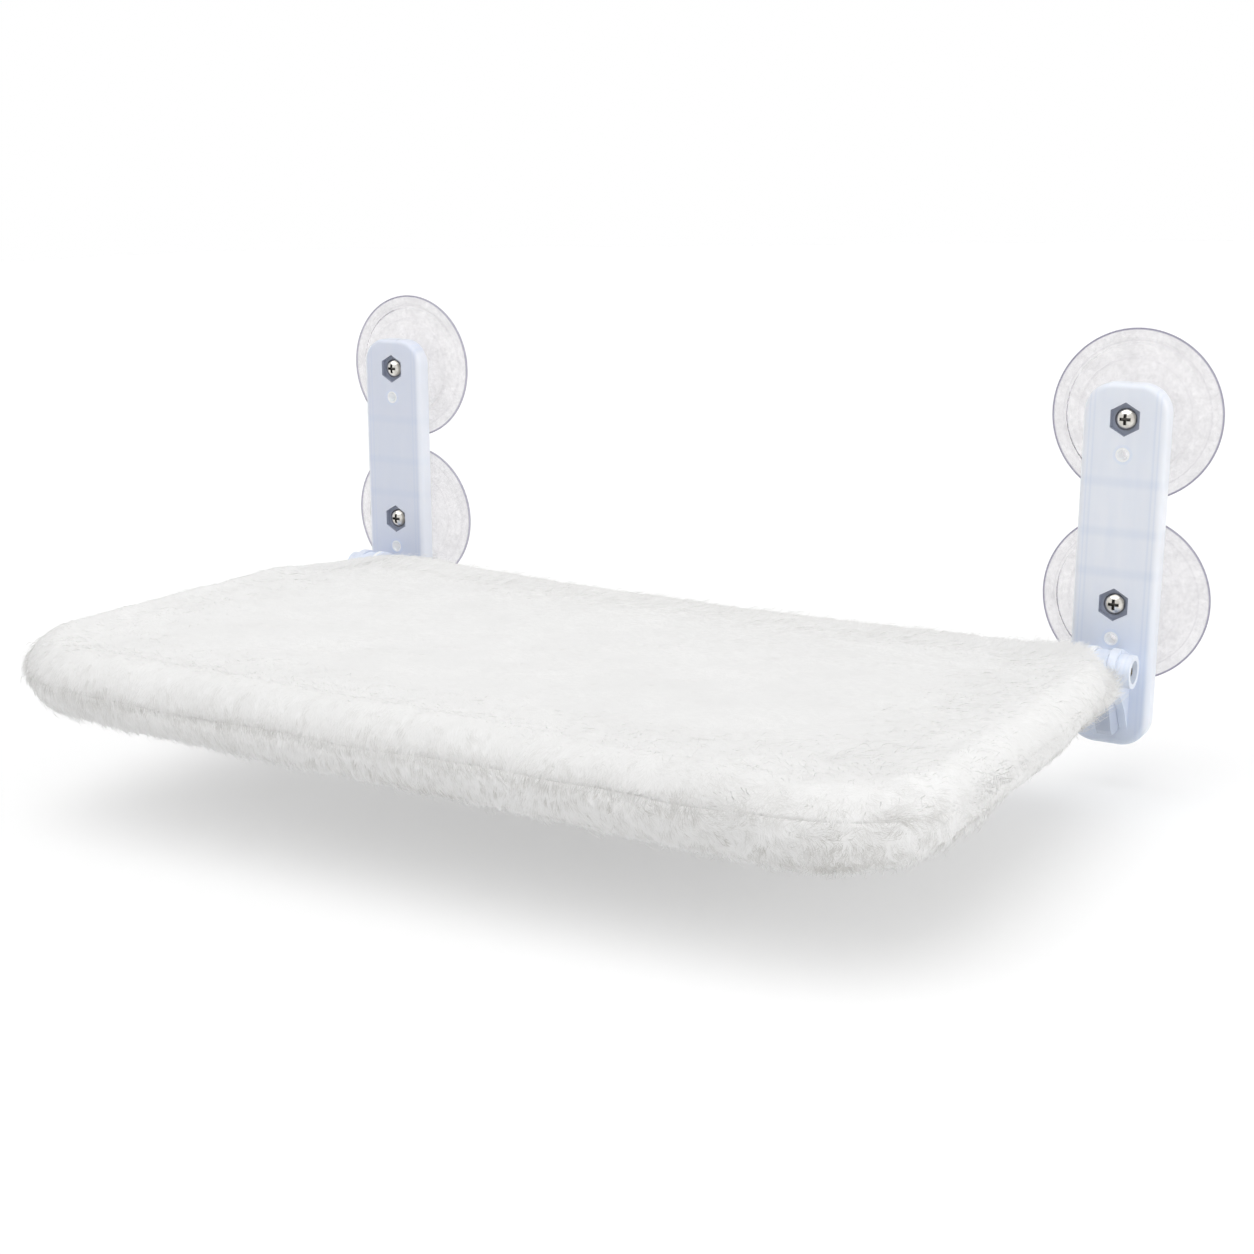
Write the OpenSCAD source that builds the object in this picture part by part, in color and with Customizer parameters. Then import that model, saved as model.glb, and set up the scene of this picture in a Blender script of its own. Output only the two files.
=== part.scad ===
// Window mounted cat perch: a plush covered bed that folds on two hinge brackets,
// which four suction cups hold to the glass.
// X runs along the window, +Y points into the glass and +Z is up.
// The origin lies on the glass, midway between the brackets, level with the fold axis.

/* [Bed] */
// Width of the covered bed along the window
bed_w = 496; // [430:1:600]
// Depth of the covered bed, away from the window
bed_d = 278; // [230:1:340]
// Thickness of the covered, rolled edge
edge_h = 33; // [31:0.5:38]
// Distance from the glass to the rear edge of the bed
bed_gap = 50.5; // [50:0.5:56]
// Height of the bed's middle plane over the fold axis
bed_rise = -1.7; // [-3:0.1:0]
// Thickness of the plush cloth and its backing
cover_t = 2.2; // [1.5:0.1:2.6]
// Height of the side seam over the middle plane
seam_up = 2; // [0:0.2:5]
// Depth to which the side seam is drawn in
seam_draw = 1.4; // [0.4:0.1:2]
// How much thinner the rear edge is in its middle
rear_slack = 3.2; // [0:0.1:3.6]

/* [Frame] */
// Outer diameter of the steel frame tube
tube_d = 16; // [14:0.5:17]
// Wall of the steel frame tube
tube_wall = 1.2; // [0.8:0.1:1.5]
// Bend radius of the two front corners, on the tube's centre line
front_bend_r = 45; // [36:1:60]
// Radius of the two rear corners, on the tube's centre line
rear_bend_r = 28.6; // [27:0.2:33]
// Thickness of the woven support sling
sling_t = 1.2; // [0.8:0.1:1.4]
// Length of each connector spigot inside its tube
spigot_l = 20; // [14:0.5:26]
// Shank diameter of the screws that hold the tubes
tube_screw_d = 3; // [2.5:0.1:3.6]

/* [Brackets] */
// Width of a bracket plate
plate_w = 42; // [38:0.5:50]
// Height of a bracket plate
plate_h = 182.5; // [176:0.5:200]
// Thickness of a bracket plate
plate_t = 9; // [8:0.5:10]
// Corner radius of a bracket plate
plate_r = 14.7; // [10:0.1:17]
// Rounding of the plate's front edge
plate_edge_r = 3; // [1.5:0.1:3.4]
// Height of the fold axis over the lower end of the plates
axis_up = 44.3; // [42:0.1:50]
// Distance from the front face of the plates to the fold axis
axis_out = 18.7; // [17:0.1:19.5]
// Height of the lower cup screws over the fold axis
cup_low_z = 28; // [26:0.5:32]
// Distance from the top of the plates down to the upper cup screws
cup_top_drop = 17.6; // [15:0.1:20]
// Width across flats of the hexagonal screw pockets
pocket_af = 14.6; // [13:0.1:15.5]
// Depth of the hexagonal screw pockets
pocket_depth = 2.9; // [2.4:0.1:3.5]
// Diameter of the spare hole under each screw
spare_hole_d = 5.4; // [4:0.1:6]
// Distance from each screw down to its spare hole
spare_hole_drop = 17.3; // [15:0.1:18]

/* [Hinges] */
// Outer radius of the hinge ears
ear_r = 10.6; // [10:0.1:11.2]
// Height over the fold axis at which the top of an ear runs into its plate
ear_root_up = 2.5; // [0:0.1:6]
// Thickness of an outer ear
outer_ear_t = 4; // [3:0.1:5]
// Thickness of an inner ear, without its nut boss
inner_ear_t = 4.5; // [3.5:0.1:5.5]
// Thickness of a hinge arm between its ears
arm_t = 7.6; // [6.5:0.1:8.5]
// Distance from the plate's centre line out to the arm's middle
arm_offset = 3; // [2:0.1:4]
// Distance from the arm's middle out to the side tube's centre line
arm_inset = 2.5; // [0.5:0.1:3]
// Outer diameter of the round bolt boss on the outer ear
boss_d = 16.7; // [15.5:0.1:18]
// Length of the round bolt boss on the outer ear
boss_l = 7; // [6:0.1:10]
// Shank diameter of a pivot bolt
pivot_d = 6; // [5:0.1:6.4]

/* [Suction cups] */
// Clear distance between the two cups of a bracket, pressed flat
cup_gap = 6.6; // [3:0.1:12]
// Distance from the glass to the back of the bracket plates
cup_h = 11.3; // [10:0.1:13]
// Diameter of the neck of a cup
neck_d = 20; // [17:0.5:24]
// Shank diameter of a cup screw
cup_screw_d = 5; // [4:0.1:5.4]
// Head diameter of a cup screw
cup_head_d = 10.8; // [9:0.1:11.5]

/* [Zip] */
// Length of the zip on the underside
zip_l = 340; // [260:1:360]
// Width of the zip tape
tape_w = 28; // [22:0.5:32]
// Distance from the rear frame tube to the zip
zip_inset = 46; // [44:0.5:60]

/* [Hidden] */

$fn = 48;
// One overrun serves all cuts
cut = 1;
// Clearance between pieces that are screwed or pushed together
fit_gap = 0.1;
// Gap that keeps soft pieces clear of what they wrap
soft_gap = 0.3;
// Gap between the edge foam and the cover's faceted lining
foam_gap = 1.1;
// Radial running clearance of the pivots
run_gap = 0.05;
// Side clearance of an arm between its ears
side_gap = 0.2;

// Places that follow from the driving sizes
roll_r = edge_h / 2;
path_x = bed_w / 2 - roll_r;
rear_y = -(bed_gap + roll_r);
front_y = -(bed_gap + bed_d - roll_r);
arm_x = path_x - arm_inset;
bracket_x = arm_x - arm_offset;
plate_back_y = -cup_h;
plate_front_y = -(cup_h + plate_t);
axis_y = plate_front_y - axis_out;
cup_high_z = plate_h - axis_up - cup_top_drop;
cup_pitch = cup_high_z - cup_low_z;
plate_mid_z = plate_h / 2 - axis_up;
cup_heights = [cup_low_z, cup_high_z];

// Cored back of the plates: side walls, floor and the cross ribs between the cells
core_wall = 3.4;
core_floor = 3;
core_corner_r = 2;
core_rib = 2.2;
rib_shares = [0.175, 0.395, 0.665];
core_ribs_z = [for (s = rib_shares) cup_low_z + s * cup_pitch];

// Cup screws and their moulded-in threaded inserts
cup_head_h = 2.9;
cup_head_rim = 0.7;
cup_hole_d = cup_screw_d + 4 * fit_gap;
insert_wall = 1.6;
insert_d = cup_screw_d + 2 * insert_wall;
insert_l = 8.2;
insert_groove_w = 1.4;
insert_groove_depth = 0.5;
cup_screw_l = 13;
recess_l = 5.4;
recess_w = 1.2;
recess_depth = 1.8;

// Suction cup section
cup_d = cup_pitch - cup_gap;
hub_ring_share = 0.663;
lip_w = 8;
lip_hollow = 1;
rim_t = 1.7;
skirt_t = 2.6;
hub_ring_h = 4.3;
hub_h = 5.4;
neck_flare = 3;
neck_flare_h = 1.4;
rim_ring_share = 0.9;
rim_ring_w = 1.2;
rim_ring_h = 0.5;

// Hinge: ears, gusset, bolt, nut, arm
gap_in_x = bracket_x + arm_offset - arm_t / 2 - side_gap;
gap_out_x = bracket_x + arm_offset + arm_t / 2 + side_gap;
nut_boss_l = 4.2;
nut_boss_r = 8.4;
gusset_drop = 37.5;
gusset_reach_share = 0.62;
pivot_hole_d = pivot_d + 2 * run_gap;
pivot_head_d = 10.6;
pivot_head_h = 3.4;
pivot_head_rim = 1.2;
pivot_recess_d = 11.4;
pivot_recess_depth = 4.6;
pivot_socket_af = 4;
pivot_socket_depth = 2;
nut_af = 10;
nut_h = 5;
nut_pocket_depth = 5.3;
nut_bore_gap = 0.05;
barrel_r = 9.4;
tongue_h = 17;
tongue_root_share = 0.62;
heel_bottom = 36;
heel_top = 19;
heel_gap = 0.3;
heel_leg = 13;
heel_edge_r = 2.5;
elbow_r = 10.4;
spigot_d = tube_d - 2 * tube_wall - 2 * fit_gap;
collar_l = 3;

// Frame tubes and their screws
tube_r = tube_d / 2;
tube_start_y = rear_y - rear_bend_r - collar_l;
tube_end_x = path_x - rear_bend_r - collar_l;
tube_screw_in = 10;
tube_screw_head_d = 6;
tube_screw_head_h = 1.8;
tube_screw_l = 6;
tube_screw_hole_d = tube_screw_d + 2 * fit_gap;
tube_screw_pilot_d = tube_screw_d + fit_gap;

// Soft inner pieces
hem_r = tube_r + run_gap + sling_t;
hem_bore_r = tube_r + run_gap;
foam_bore_r = hem_r + soft_gap;
foam_r = roll_r - cover_t - foam_gap;
foam_start = spigot_l + 6;
sling_inset = 26;
sling_hem_end = 12;
sling_x = path_x - front_bend_r - sling_hem_end;
sling_rear_x = min(sling_x, tube_end_x - sling_inset);
pad_side_gap = 1;
pad_corner_r = front_bend_r - foam_r - pad_side_gap;
pad_edge_r = 5;

// Bed cover: sections are written as shares of the roll's radius, outwards and upwards
roll_last_angle = 108;
top_shoulder_shares = [[-0.66, 0.83], [-0.94, 0.715], [-1.2, 0.79], [-1.66, 0.86]];
top_inner_shares = [[0.88, 0.875], [0.66, 0.86], [0.4, 0.83], [0.16, 0.81]];
low_shoulder_shares = [[-0.66, 0.83], [-0.94, 0.74], [-1.2, 0.75], [-1.66, 0.75]];
low_inner_shares = [[0.5, 0.75]];
top_lining_shares = [[-0.66, 0.83], [-0.94, 0.715], [-1.66, 0.86]];
low_lining_shares = [[-0.94, 0.74], [-1.66, 0.75]];
lining_inner_shares = [[0.5, 0.84]];
seam_gap = 0.3;
seam_lead_angle = 9;
roll_steps = 7;
lining_steps = 4;
corner_steps = 6;
long_steps = 8;
short_steps = 4;
slot_gap = 0.5;

// Zip on the underside
flat_share = 0.75;
zip_top_z = bed_rise - flat_share * roll_r - soft_gap;
zip_y = rear_y - zip_inset;
tape_t = 0.8;
coil_w = 5.6;
coil_h = 1.8;
zip_end_l = 9;
slider_l = 11;
slider_w = 9;
slider_wall = 1;
slider_gap = 0.2;
slider_nose_r = 3;
stop_l = 2;
arch_l = 4;
arch_w = 2.2;
arch_h = 4;
arch_wall = 0.8;
pull_pin_d = 1.4;
pull_cheek_t = 1.3;
pull_l = 24;
pull_w = 7.6;
pull_t = 1.4;
pull_hole_d = 3.2;
slider_x = -(zip_l / 2 - zip_end_l - slider_l / 2 - soft_gap);
slider_top_z = zip_top_z - tape_t - slider_gap;
slider_low_z = slider_top_z - coil_h - slider_wall;
arch_low_z = slider_low_z + slider_wall - arch_h;
pull_pivot_z = arch_low_z + arch_wall + pull_pin_d / 2 + run_gap;

// Extrudes an outline drawn as [Y, Z] along X, from x over len
module along_x(x, len) {
  translate([x, 0, 0])
    rotate([90, 0, 90])
      linear_extrude(len)
        children();
}

// Turns an upright piece so that its top points away from the glass
module facing_room(x, y, z) {
  translate([x, y, z])
    rotate([90, 0, 0])
      children();
}

// Lays a round piece along X, starting at x
module round_along_x(x, y, z, len, d) {
  translate([x, y, z])
    rotate([0, 90, 0])
      cylinder(h = len, d = d);
}

// Hexagonal prism with a point upwards, measured across its flats
module hex(af, h) {
  rotate([0, 0, 90])
    cylinder(h = h, d = af / cos(30), $fn = 6);
}

// Section of a slab whose two top corners are rounded
module slab_section(w, t, e) {
  translate([-w / 2, 0])
    square([w, t - e]);
  translate([-w / 2 + e, 0])
    square([w - 2 * e, t]);
  for (s = [-1, 1])
    translate([s * (w / 2 - e), t - e])
      circle(e);
}

// Half of that section, from its middle line outwards
module half_slab_section(r, t, e) {
  square([r, t - e]);
  square([r - e, t]);
  translate([r - e, t - e])
    circle(e);
}

// Slab with round corners and a rounded top edge, lying on its back
module rounded_slab(w, h, t, r, e) {
  for (sx = [-1, 1], sy = [-1, 1])
    translate([sx * (w / 2 - r), sy * (h / 2 - r), 0])
      rotate_extrude()
        half_slab_section(r, t, e);
  translate([0, h / 2 - r, 0])
    rotate([90, 0, 0])
      linear_extrude(h - 2 * r)
        slab_section(w, t, e);
  translate([-w / 2 + r, 0, 0])
    rotate([90, 0, 90])
      linear_extrude(w - 2 * r)
        slab_section(h, t, e);
}

// Rectangle with round corners, from low to high
module rounded_area(low, high, r) {
  translate([low.x + r, low.y])
    square([high.x - low.x - 2 * r, high.y - low.y]);
  translate([low.x, low.y + r])
    square([high.x - low.x, high.y - low.y - 2 * r]);
  for (x = [low.x + r, high.x - r], y = [low.y + r, high.y - r])
    translate([x, y])
      circle(r);
}

// Side view of an ear: round at the axis, falling to the plate above, with a sloping gusset below
module ear_outline() {
  root_y = plate_front_y + plate_edge_r / 2;
  hull() {
    translate([axis_y, 0])
      circle(ear_r);
    polygon([[root_y, ear_root_up], [root_y, -ear_r], [axis_y, -ear_r]]);
  }
  polygon([
    [axis_y, -ear_r],
    [axis_y + gusset_reach_share * axis_out, -gusset_drop * gusset_reach_share],
    [root_y, -gusset_drop],
    [root_y, 0],
    [axis_y, 0]
  ]);
}

// Both ears of the right bracket with their bosses, before any hole
module ears() {
  along_x(gap_out_x, outer_ear_t)
    ear_outline();
  along_x(gap_in_x - inner_ear_t, inner_ear_t)
    ear_outline();
  round_along_x(gap_out_x, axis_y, 0, outer_ear_t + boss_l, boss_d);
  round_along_x(gap_in_x - inner_ear_t - nut_boss_l, axis_y, 0, nut_boss_l + inner_ear_t, 2 * nut_boss_r);
}

// Open cells in the back of a plate, between its cross ribs
module plate_cells() {
  for (i = [0 : len(core_ribs_z) - 2])
    facing_room(bracket_x, plate_back_y + cut, 0)
      linear_extrude(plate_t - core_floor + cut)
        rounded_area(
          [-plate_w / 2 + core_wall, core_ribs_z[i] + core_rib / 2],
          [plate_w / 2 - core_wall, core_ribs_z[i + 1] - core_rib / 2],
          core_corner_r
        );
}

// Right bracket: plate, ears, screw pockets, spare holes and hinge bores
module bracket() {
  difference() {
    union() {
      facing_room(bracket_x, plate_back_y, plate_mid_z)
        rounded_slab(plate_w, plate_h, plate_t, plate_r, plate_edge_r);
      ears();
    }
    plate_cells();
    for (z = cup_heights) {
      facing_room(bracket_x, plate_front_y + pocket_depth, z)
        hex(pocket_af, pocket_depth + cut);
      facing_room(bracket_x, plate_back_y + cut, z)
        cylinder(h = plate_t, d = cup_hole_d);
      facing_room(bracket_x, plate_back_y + cut, z - spare_hole_drop)
        cylinder(h = plate_t + 2 * cut, d = spare_hole_d);
    }
    round_along_x(gap_in_x - inner_ear_t - nut_boss_l - cut, axis_y, 0,
      2 * ear_r + inner_ear_t + nut_boss_l + boss_l + arm_t, pivot_hole_d);
    round_along_x(gap_out_x + outer_ear_t + boss_l - pivot_recess_depth, axis_y, 0,
      pivot_recess_depth + cut, pivot_recess_d);
    translate([gap_in_x - inner_ear_t - nut_boss_l - cut, axis_y, 0])
      rotate([0, 90, 0])
        cylinder(h = nut_pocket_depth + cut, d = (nut_af + 2 * fit_gap) / cos(30), $fn = 6);
  }
}

module bracket_right() {
  color("lightsteelblue")
    bracket();
}

module bracket_left() {
  color("lightsteelblue")
    mirror([1, 0, 0])
      bracket();
}

// Section of a cup: sealing lip, thin skirt, raised ring, neck with the insert's bore
module cup_section() {
  r = cup_d / 2;
  ring_r = hub_ring_share * r;
  neck_r = neck_d / 2;
  bore_r = insert_d / 2 + fit_gap;
  bore_floor = cup_h - fit_gap - insert_l - fit_gap;
  polygon([
    [r - rim_t / 2, 0],
    [r - rim_t / 2, rim_t],
    [rim_ring_share * r + rim_ring_w, rim_t],
    [rim_ring_share * r, rim_t + rim_ring_h],
    [rim_ring_share * r - rim_ring_w, rim_t],
    [ring_r + rim_ring_w, skirt_t],
    [ring_r, hub_ring_h],
    [neck_r + neck_flare, hub_h],
    [neck_r, hub_h + neck_flare_h],
    [neck_r, cup_h - fit_gap],
    [bore_r, cup_h - fit_gap],
    [bore_r, bore_floor],
    [0, bore_floor],
    [0, lip_hollow],
    [r - lip_w, lip_hollow],
    [r - lip_w + lip_hollow, 0]
  ]);
  translate([r - rim_t / 2, rim_t / 2])
    circle(rim_t / 2);
}

module cup(side, z) {
  color("gainsboro", 0.6)
    facing_room(side * bracket_x, 0, z)
      rotate_extrude($fn = 96)
        cup_section();
}

module cup_upper_left() {
  cup(-1, cup_high_z);
}

module cup_lower_left() {
  cup(-1, cup_low_z);
}

module cup_upper_right() {
  cup(1, cup_high_z);
}

module cup_lower_right() {
  cup(1, cup_low_z);
}

// Domed head standing on its seat, as a section from the axis outwards
module dome_section(d, h, rim) {
  rise = h - rim;
  dome_r = (rise * rise + d * d / 4) / (2 * rise);
  intersection() {
    translate([0, h - dome_r])
      circle(dome_r, $fn = 96);
    square([d / 2, h]);
  }
}

// Screw with a domed head and a cross recess, its seat at height 0
module cross_screw(head_d, head_h, head_rim, shank_d, shank_l) {
  difference() {
    union() {
      rotate_extrude()
        dome_section(head_d, head_h, head_rim);
      translate([0, 0, -shank_l])
        cylinder(h = shank_l + head_rim, d = shank_d);
    }
    for (a = [0, 90])
      rotate([0, 0, a])
        translate([-recess_l / 2, -recess_w / 2, head_h - recess_depth])
          cube([recess_l, recess_w, recess_depth + cut]);
  }
}

module cup_screws() {
  color("silver")
    for (side = [-1, 1], z = cup_heights)
      facing_room(side * bracket_x, plate_front_y + pocket_depth - fit_gap, z)
        cross_screw(cup_head_d, cup_head_h, cup_head_rim, cup_screw_d, cup_screw_l);
}

// Threaded inserts in the necks, each with a groove that the cup is moulded into
module cup_inserts() {
  color("goldenrod")
    for (side = [-1, 1], z = cup_heights)
      facing_room(side * bracket_x, -(cup_h - fit_gap - insert_l), z)
        difference() {
          cylinder(h = insert_l, d = insert_d);
          translate([0, 0, -cut])
            cylinder(h = insert_l + 2 * cut, d = cup_screw_d + 2 * run_gap);
          translate([0, 0, (insert_l - insert_groove_w) / 2])
            difference() {
              cylinder(h = insert_groove_w, d = insert_d + cut);
              translate([0, 0, -cut])
                cylinder(h = insert_groove_w + 2 * cut, d = insert_d - 2 * insert_groove_depth);
            }
        }
}

// Right pivot bolt: domed head with a hexagonal socket, shank through both ears
module pivot_bolt() {
  seat_x = gap_out_x + outer_ear_t + boss_l - pivot_recess_depth + fit_gap;
  tip_x = gap_in_x - inner_ear_t - nut_boss_l;
  translate([seat_x, axis_y, 0])
    rotate([0, 90, 0])
      difference() {
        union() {
          rotate_extrude()
            dome_section(pivot_head_d, pivot_head_h, pivot_head_rim);
          translate([0, 0, tip_x - seat_x])
            cylinder(h = seat_x - tip_x + pivot_head_rim, d = pivot_d);
        }
        translate([0, 0, pivot_head_h - pivot_socket_depth])
          cylinder(h = pivot_socket_depth + cut, d = pivot_socket_af / cos(30), $fn = 6);
      }
}

module pivot_bolts() {
  color("silver") {
    pivot_bolt();
    mirror([1, 0, 0])
      pivot_bolt();
  }
}

module pivot_nut() {
  nut_x = gap_in_x - inner_ear_t - nut_boss_l + nut_pocket_depth - fit_gap - nut_h;
  translate([nut_x, axis_y, 0])
    rotate([0, 90, 0])
      difference() {
        cylinder(h = nut_h, d = nut_af / cos(30), $fn = 6);
        translate([0, 0, -cut])
          cylinder(h = nut_h + 2 * cut, d = pivot_d + 2 * nut_bore_gap);
      }
}

module pivot_nuts() {
  color("silver") {
    pivot_nut();
    mirror([1, 0, 0])
      pivot_nut();
  }
}

// Side view of an arm: barrel, tongue into the bed, and heel against the plate
module arm_outline() {
  heel_y = plate_front_y - heel_gap;
  tongue_end_y = rear_y - tongue_root_share * rear_bend_r;
  translate([axis_y, 0])
    circle(barrel_r);
  polygon([
    [axis_y, barrel_r],
    [rear_y, bed_rise + tongue_h / 2],
    [tongue_end_y, bed_rise + tongue_h / 2],
    [tongue_end_y, bed_rise - tongue_h / 2],
    [rear_y, bed_rise - tongue_h / 2],
    [axis_y, -barrel_r]
  ]);
  polygon([
    [axis_y - barrel_r, 0],
    [heel_y - heel_leg, -heel_bottom + heel_edge_r],
    [heel_y - heel_leg + heel_edge_r, -heel_bottom],
    [heel_y - heel_edge_r, -heel_bottom],
    [heel_y, -heel_bottom + heel_edge_r],
    [heel_y, -heel_top - heel_edge_r],
    [heel_y - heel_edge_r, -heel_top],
    [axis_y + barrel_r, 0]
  ]);
}

// Right hinge arm: a flat arm on a round corner piece whose spigots enter both tubes
module hinge_arm() {
  corner_x = path_x - rear_bend_r;
  corner_y = rear_y - rear_bend_r;
  difference() {
    union() {
      along_x(arm_x - arm_t / 2, arm_t)
        arm_outline();
      translate([corner_x, corner_y, bed_rise])
        rotate_extrude(angle = 90)
          translate([rear_bend_r, 0])
            circle(elbow_r);
      translate([path_x, corner_y, bed_rise])
        rotate([90, 0, 0]) {
          cylinder(h = collar_l - fit_gap, r = elbow_r);
          cylinder(h = collar_l + spigot_l, d = spigot_d);
        }
      translate([corner_x, rear_y, bed_rise])
        rotate([0, -90, 0]) {
          cylinder(h = collar_l - fit_gap, r = elbow_r);
          cylinder(h = collar_l + spigot_l, d = spigot_d);
        }
    }
    round_along_x(arm_x - arm_t, axis_y, 0, 2 * arm_t, pivot_hole_d);
    tube_screw_places()
      translate([0, 0, -tube_screw_l - cut])
        cylinder(h = tube_screw_l + 2 * cut, d = tube_screw_pilot_d);
  }
}

module hinge_arm_right() {
  color("lightsteelblue")
    hinge_arm();
}

module hinge_arm_left() {
  color("lightsteelblue")
    mirror([1, 0, 0])
      hinge_arm();
}

// Seats of the two right tube screws: each turns in from below
module tube_screw_places() {
  places = [
    [path_x, tube_start_y - tube_screw_in],
    [tube_end_x - tube_screw_in, rear_y]
  ];
  for (p = places)
    translate([p.x, p.y, bed_rise - tube_r - fit_gap])
      rotate([180, 0, 0])
        children();
}

module tube_screws() {
  color("silver")
    for (m = [0, 1])
      mirror([m, 0, 0])
        tube_screw_places()
          union() {
            cylinder(h = tube_screw_head_h, d = tube_screw_head_d);
            translate([0, 0, -tube_screw_l])
              cylinder(h = tube_screw_l + fit_gap, d = tube_screw_d);
          }
}

// Solid of radius r along the front tube: two sides, two bends and the front
module front_route(r, start_y) {
  side_l = start_y - (front_y + front_bend_r);
  front_l = 2 * (path_x - front_bend_r);
  for (m = [0, 1])
    mirror([m, 0, 0]) {
      translate([path_x, start_y, bed_rise])
        rotate([90, 0, 0])
          cylinder(h = side_l, r = r);
      translate([path_x - front_bend_r, front_y + front_bend_r, bed_rise])
        rotate([0, 0, -90])
          rotate_extrude(angle = 90)
            translate([front_bend_r, 0])
              circle(r);
    }
  translate([-front_l / 2, front_y, bed_rise])
    rotate([0, 90, 0])
      cylinder(h = front_l, r = r);
}

module front_tube() {
  color("dimgray")
    difference() {
      front_route(tube_r, tube_start_y);
      front_route(tube_r - tube_wall, tube_start_y + cut);
      for (m = [0, 1])
        mirror([m, 0, 0])
          tube_screw_places()
            translate([0, 0, -tube_r])
              cylinder(h = tube_r + cut, d = tube_screw_hole_d);
    }
}

module rear_tube() {
  color("dimgray")
    difference() {
      round_along_x(-tube_end_x, rear_y, bed_rise, 2 * tube_end_x, tube_d);
      round_along_x(-tube_end_x - cut, rear_y, bed_rise, 2 * (tube_end_x + cut), tube_d - 2 * tube_wall);
      for (m = [0, 1])
        mirror([m, 0, 0])
          tube_screw_places()
            translate([0, 0, -tube_r])
              cylinder(h = tube_r + cut, d = tube_screw_hole_d);
    }
}

// Foam on the sides and front, slit underneath where the sling leaves its hem
module edge_foam() {
  color("white")
    difference() {
      front_route(foam_r, tube_start_y - foam_start);
      front_route(foam_bore_r, tube_start_y - foam_start + cut);
      translate([-sling_x - soft_gap, front_y, bed_rise - foam_bore_r])
        cube([2 * (sling_x + soft_gap), foam_r + cut, sling_t + 2 * soft_gap]);
    }
}

// Woven panel with a hem round the front tube and another round the rear one
module support_sling() {
  color("darkgray")
    difference() {
      union() {
        round_along_x(-sling_x, front_y, bed_rise, 2 * sling_x, 2 * hem_r);
        round_along_x(-sling_rear_x, rear_y, bed_rise, 2 * sling_rear_x, 2 * hem_r);
        translate([-sling_rear_x, front_y, bed_rise - hem_r])
          cube([2 * sling_rear_x, rear_y - front_y, sling_t]);
      }
      round_along_x(-sling_x - cut, front_y, bed_rise, 2 * (sling_x + cut), 2 * hem_bore_r);
      round_along_x(-sling_rear_x - cut, rear_y, bed_rise, 2 * (sling_rear_x + cut), 2 * hem_bore_r);
    }
}

// Foam pad that lies on the sling, inside the padded edge
module sleep_pad() {
  pad_x = path_x - foam_r - pad_side_gap;
  low_z = bed_rise - hem_bore_r + soft_gap;
  high_z = bed_rise + top_shoulder_shares[1][1] * roll_r - cover_t - soft_gap;
  pad_front_y = front_y + foam_r + pad_side_gap;
  pad_rear_y = rear_y - elbow_r - pad_side_gap;
  color("ivory")
    translate([0, (pad_front_y + pad_rear_y) / 2, low_z])
      rounded_slab(2 * pad_x, pad_rear_y - pad_front_y, high_z - low_z, pad_corner_r, pad_edge_r);
}

// Points of the bed's outline: place, outward direction and share of the full roll
function bend(x, y, r, a0) = [
  for (i = [0 : corner_steps])
    let (a = a0 + 90 * i / corner_steps)
    [x + r * cos(a), y + r * sin(a), cos(a), sin(a), 1]
];
function run(a, b, steps, slack) = [
  for (i = [1 : steps - 1])
    let (t = i / steps, s = sin(180 * t))
    [
      a.x + (b.x - a.x) * t,
      a.y + (b.y - a.y) * t,
      a[2],
      a[3],
      1 - slack / roll_r * s * s
    ]
];
fx = path_x - front_bend_r;
fy = front_y + front_bend_r;
rx = path_x - rear_bend_r;
ry = rear_y - rear_bend_r;
bend_fr = bend(fx, fy, front_bend_r, -90);
bend_rr = bend(rx, ry, rear_bend_r, 0);
bend_rl = bend(-rx, ry, rear_bend_r, 90);
bend_fl = bend(-fx, fy, front_bend_r, 180);
outline = concat(
  bend_fr, run(bend_fr[corner_steps], bend_rr[0], short_steps, 0),
  bend_rr, run(bend_rr[corner_steps], bend_rl[0], long_steps, rear_slack),
  bend_rl, run(bend_rl[corner_steps], bend_fl[0], short_steps, 0),
  bend_fl, run(bend_fl[corner_steps], bend_fr[0], long_steps, 0)
);
bed_mid_y = (front_y + rear_y) / 2;

// A ring of the cover: out and up from the roll's centre line, drawn in by the slack
function roll_ring(out, up) = [
  for (p = outline)
    [p.x + p[2] * (out - roll_r * (1 - p[4])), p.y + p[3] * (out - roll_r * (1 - p[4])), bed_rise + up * p[4]]
];
function flat_ring(out, up) = [
  for (p = outline)
    [p.x + p[2] * out, p.y + p[3] * out, bed_rise + up]
];
function inner_ring(ring, share, up) = [
  for (p = ring)
    [p.x * share, bed_mid_y + (p.y - bed_mid_y) * share, bed_rise + up]
];

// Rings of one face of a cover half, from the roll's edge at the seam to the middle
function face_rings(side, r, lead, steps, shoulder, inner, t) =
  let (
    a0 = asin((seam_up + side * seam_gap / 2) * side / r) + lead,
    rolls = [
      for (i = [0 : steps])
        let (a = a0 + (roll_last_angle - a0) * i / steps)
        roll_ring(r * cos(a), side * r * sin(a))
    ],
    shoulders = [for (s = shoulder) flat_ring(s[0] * roll_r, side * (s[1] * roll_r - t))],
    last = shoulders[len(shoulders) - 1],
    middles = [for (s = inner) inner_ring(last, s[0], side * (s[1] * roll_r - t))]
  )
  concat(rolls, shoulders, middles);

// Edge of a cover half where it is drawn in at the seam
function seam_ring(side) =
  roll_ring(sqrt(roll_r * roll_r - seam_up * seam_up) - seam_draw, seam_up + side * seam_gap / 2);

function backwards(list) = [for (i = [len(list) - 1 : -1 : 0]) list[i]];

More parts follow.
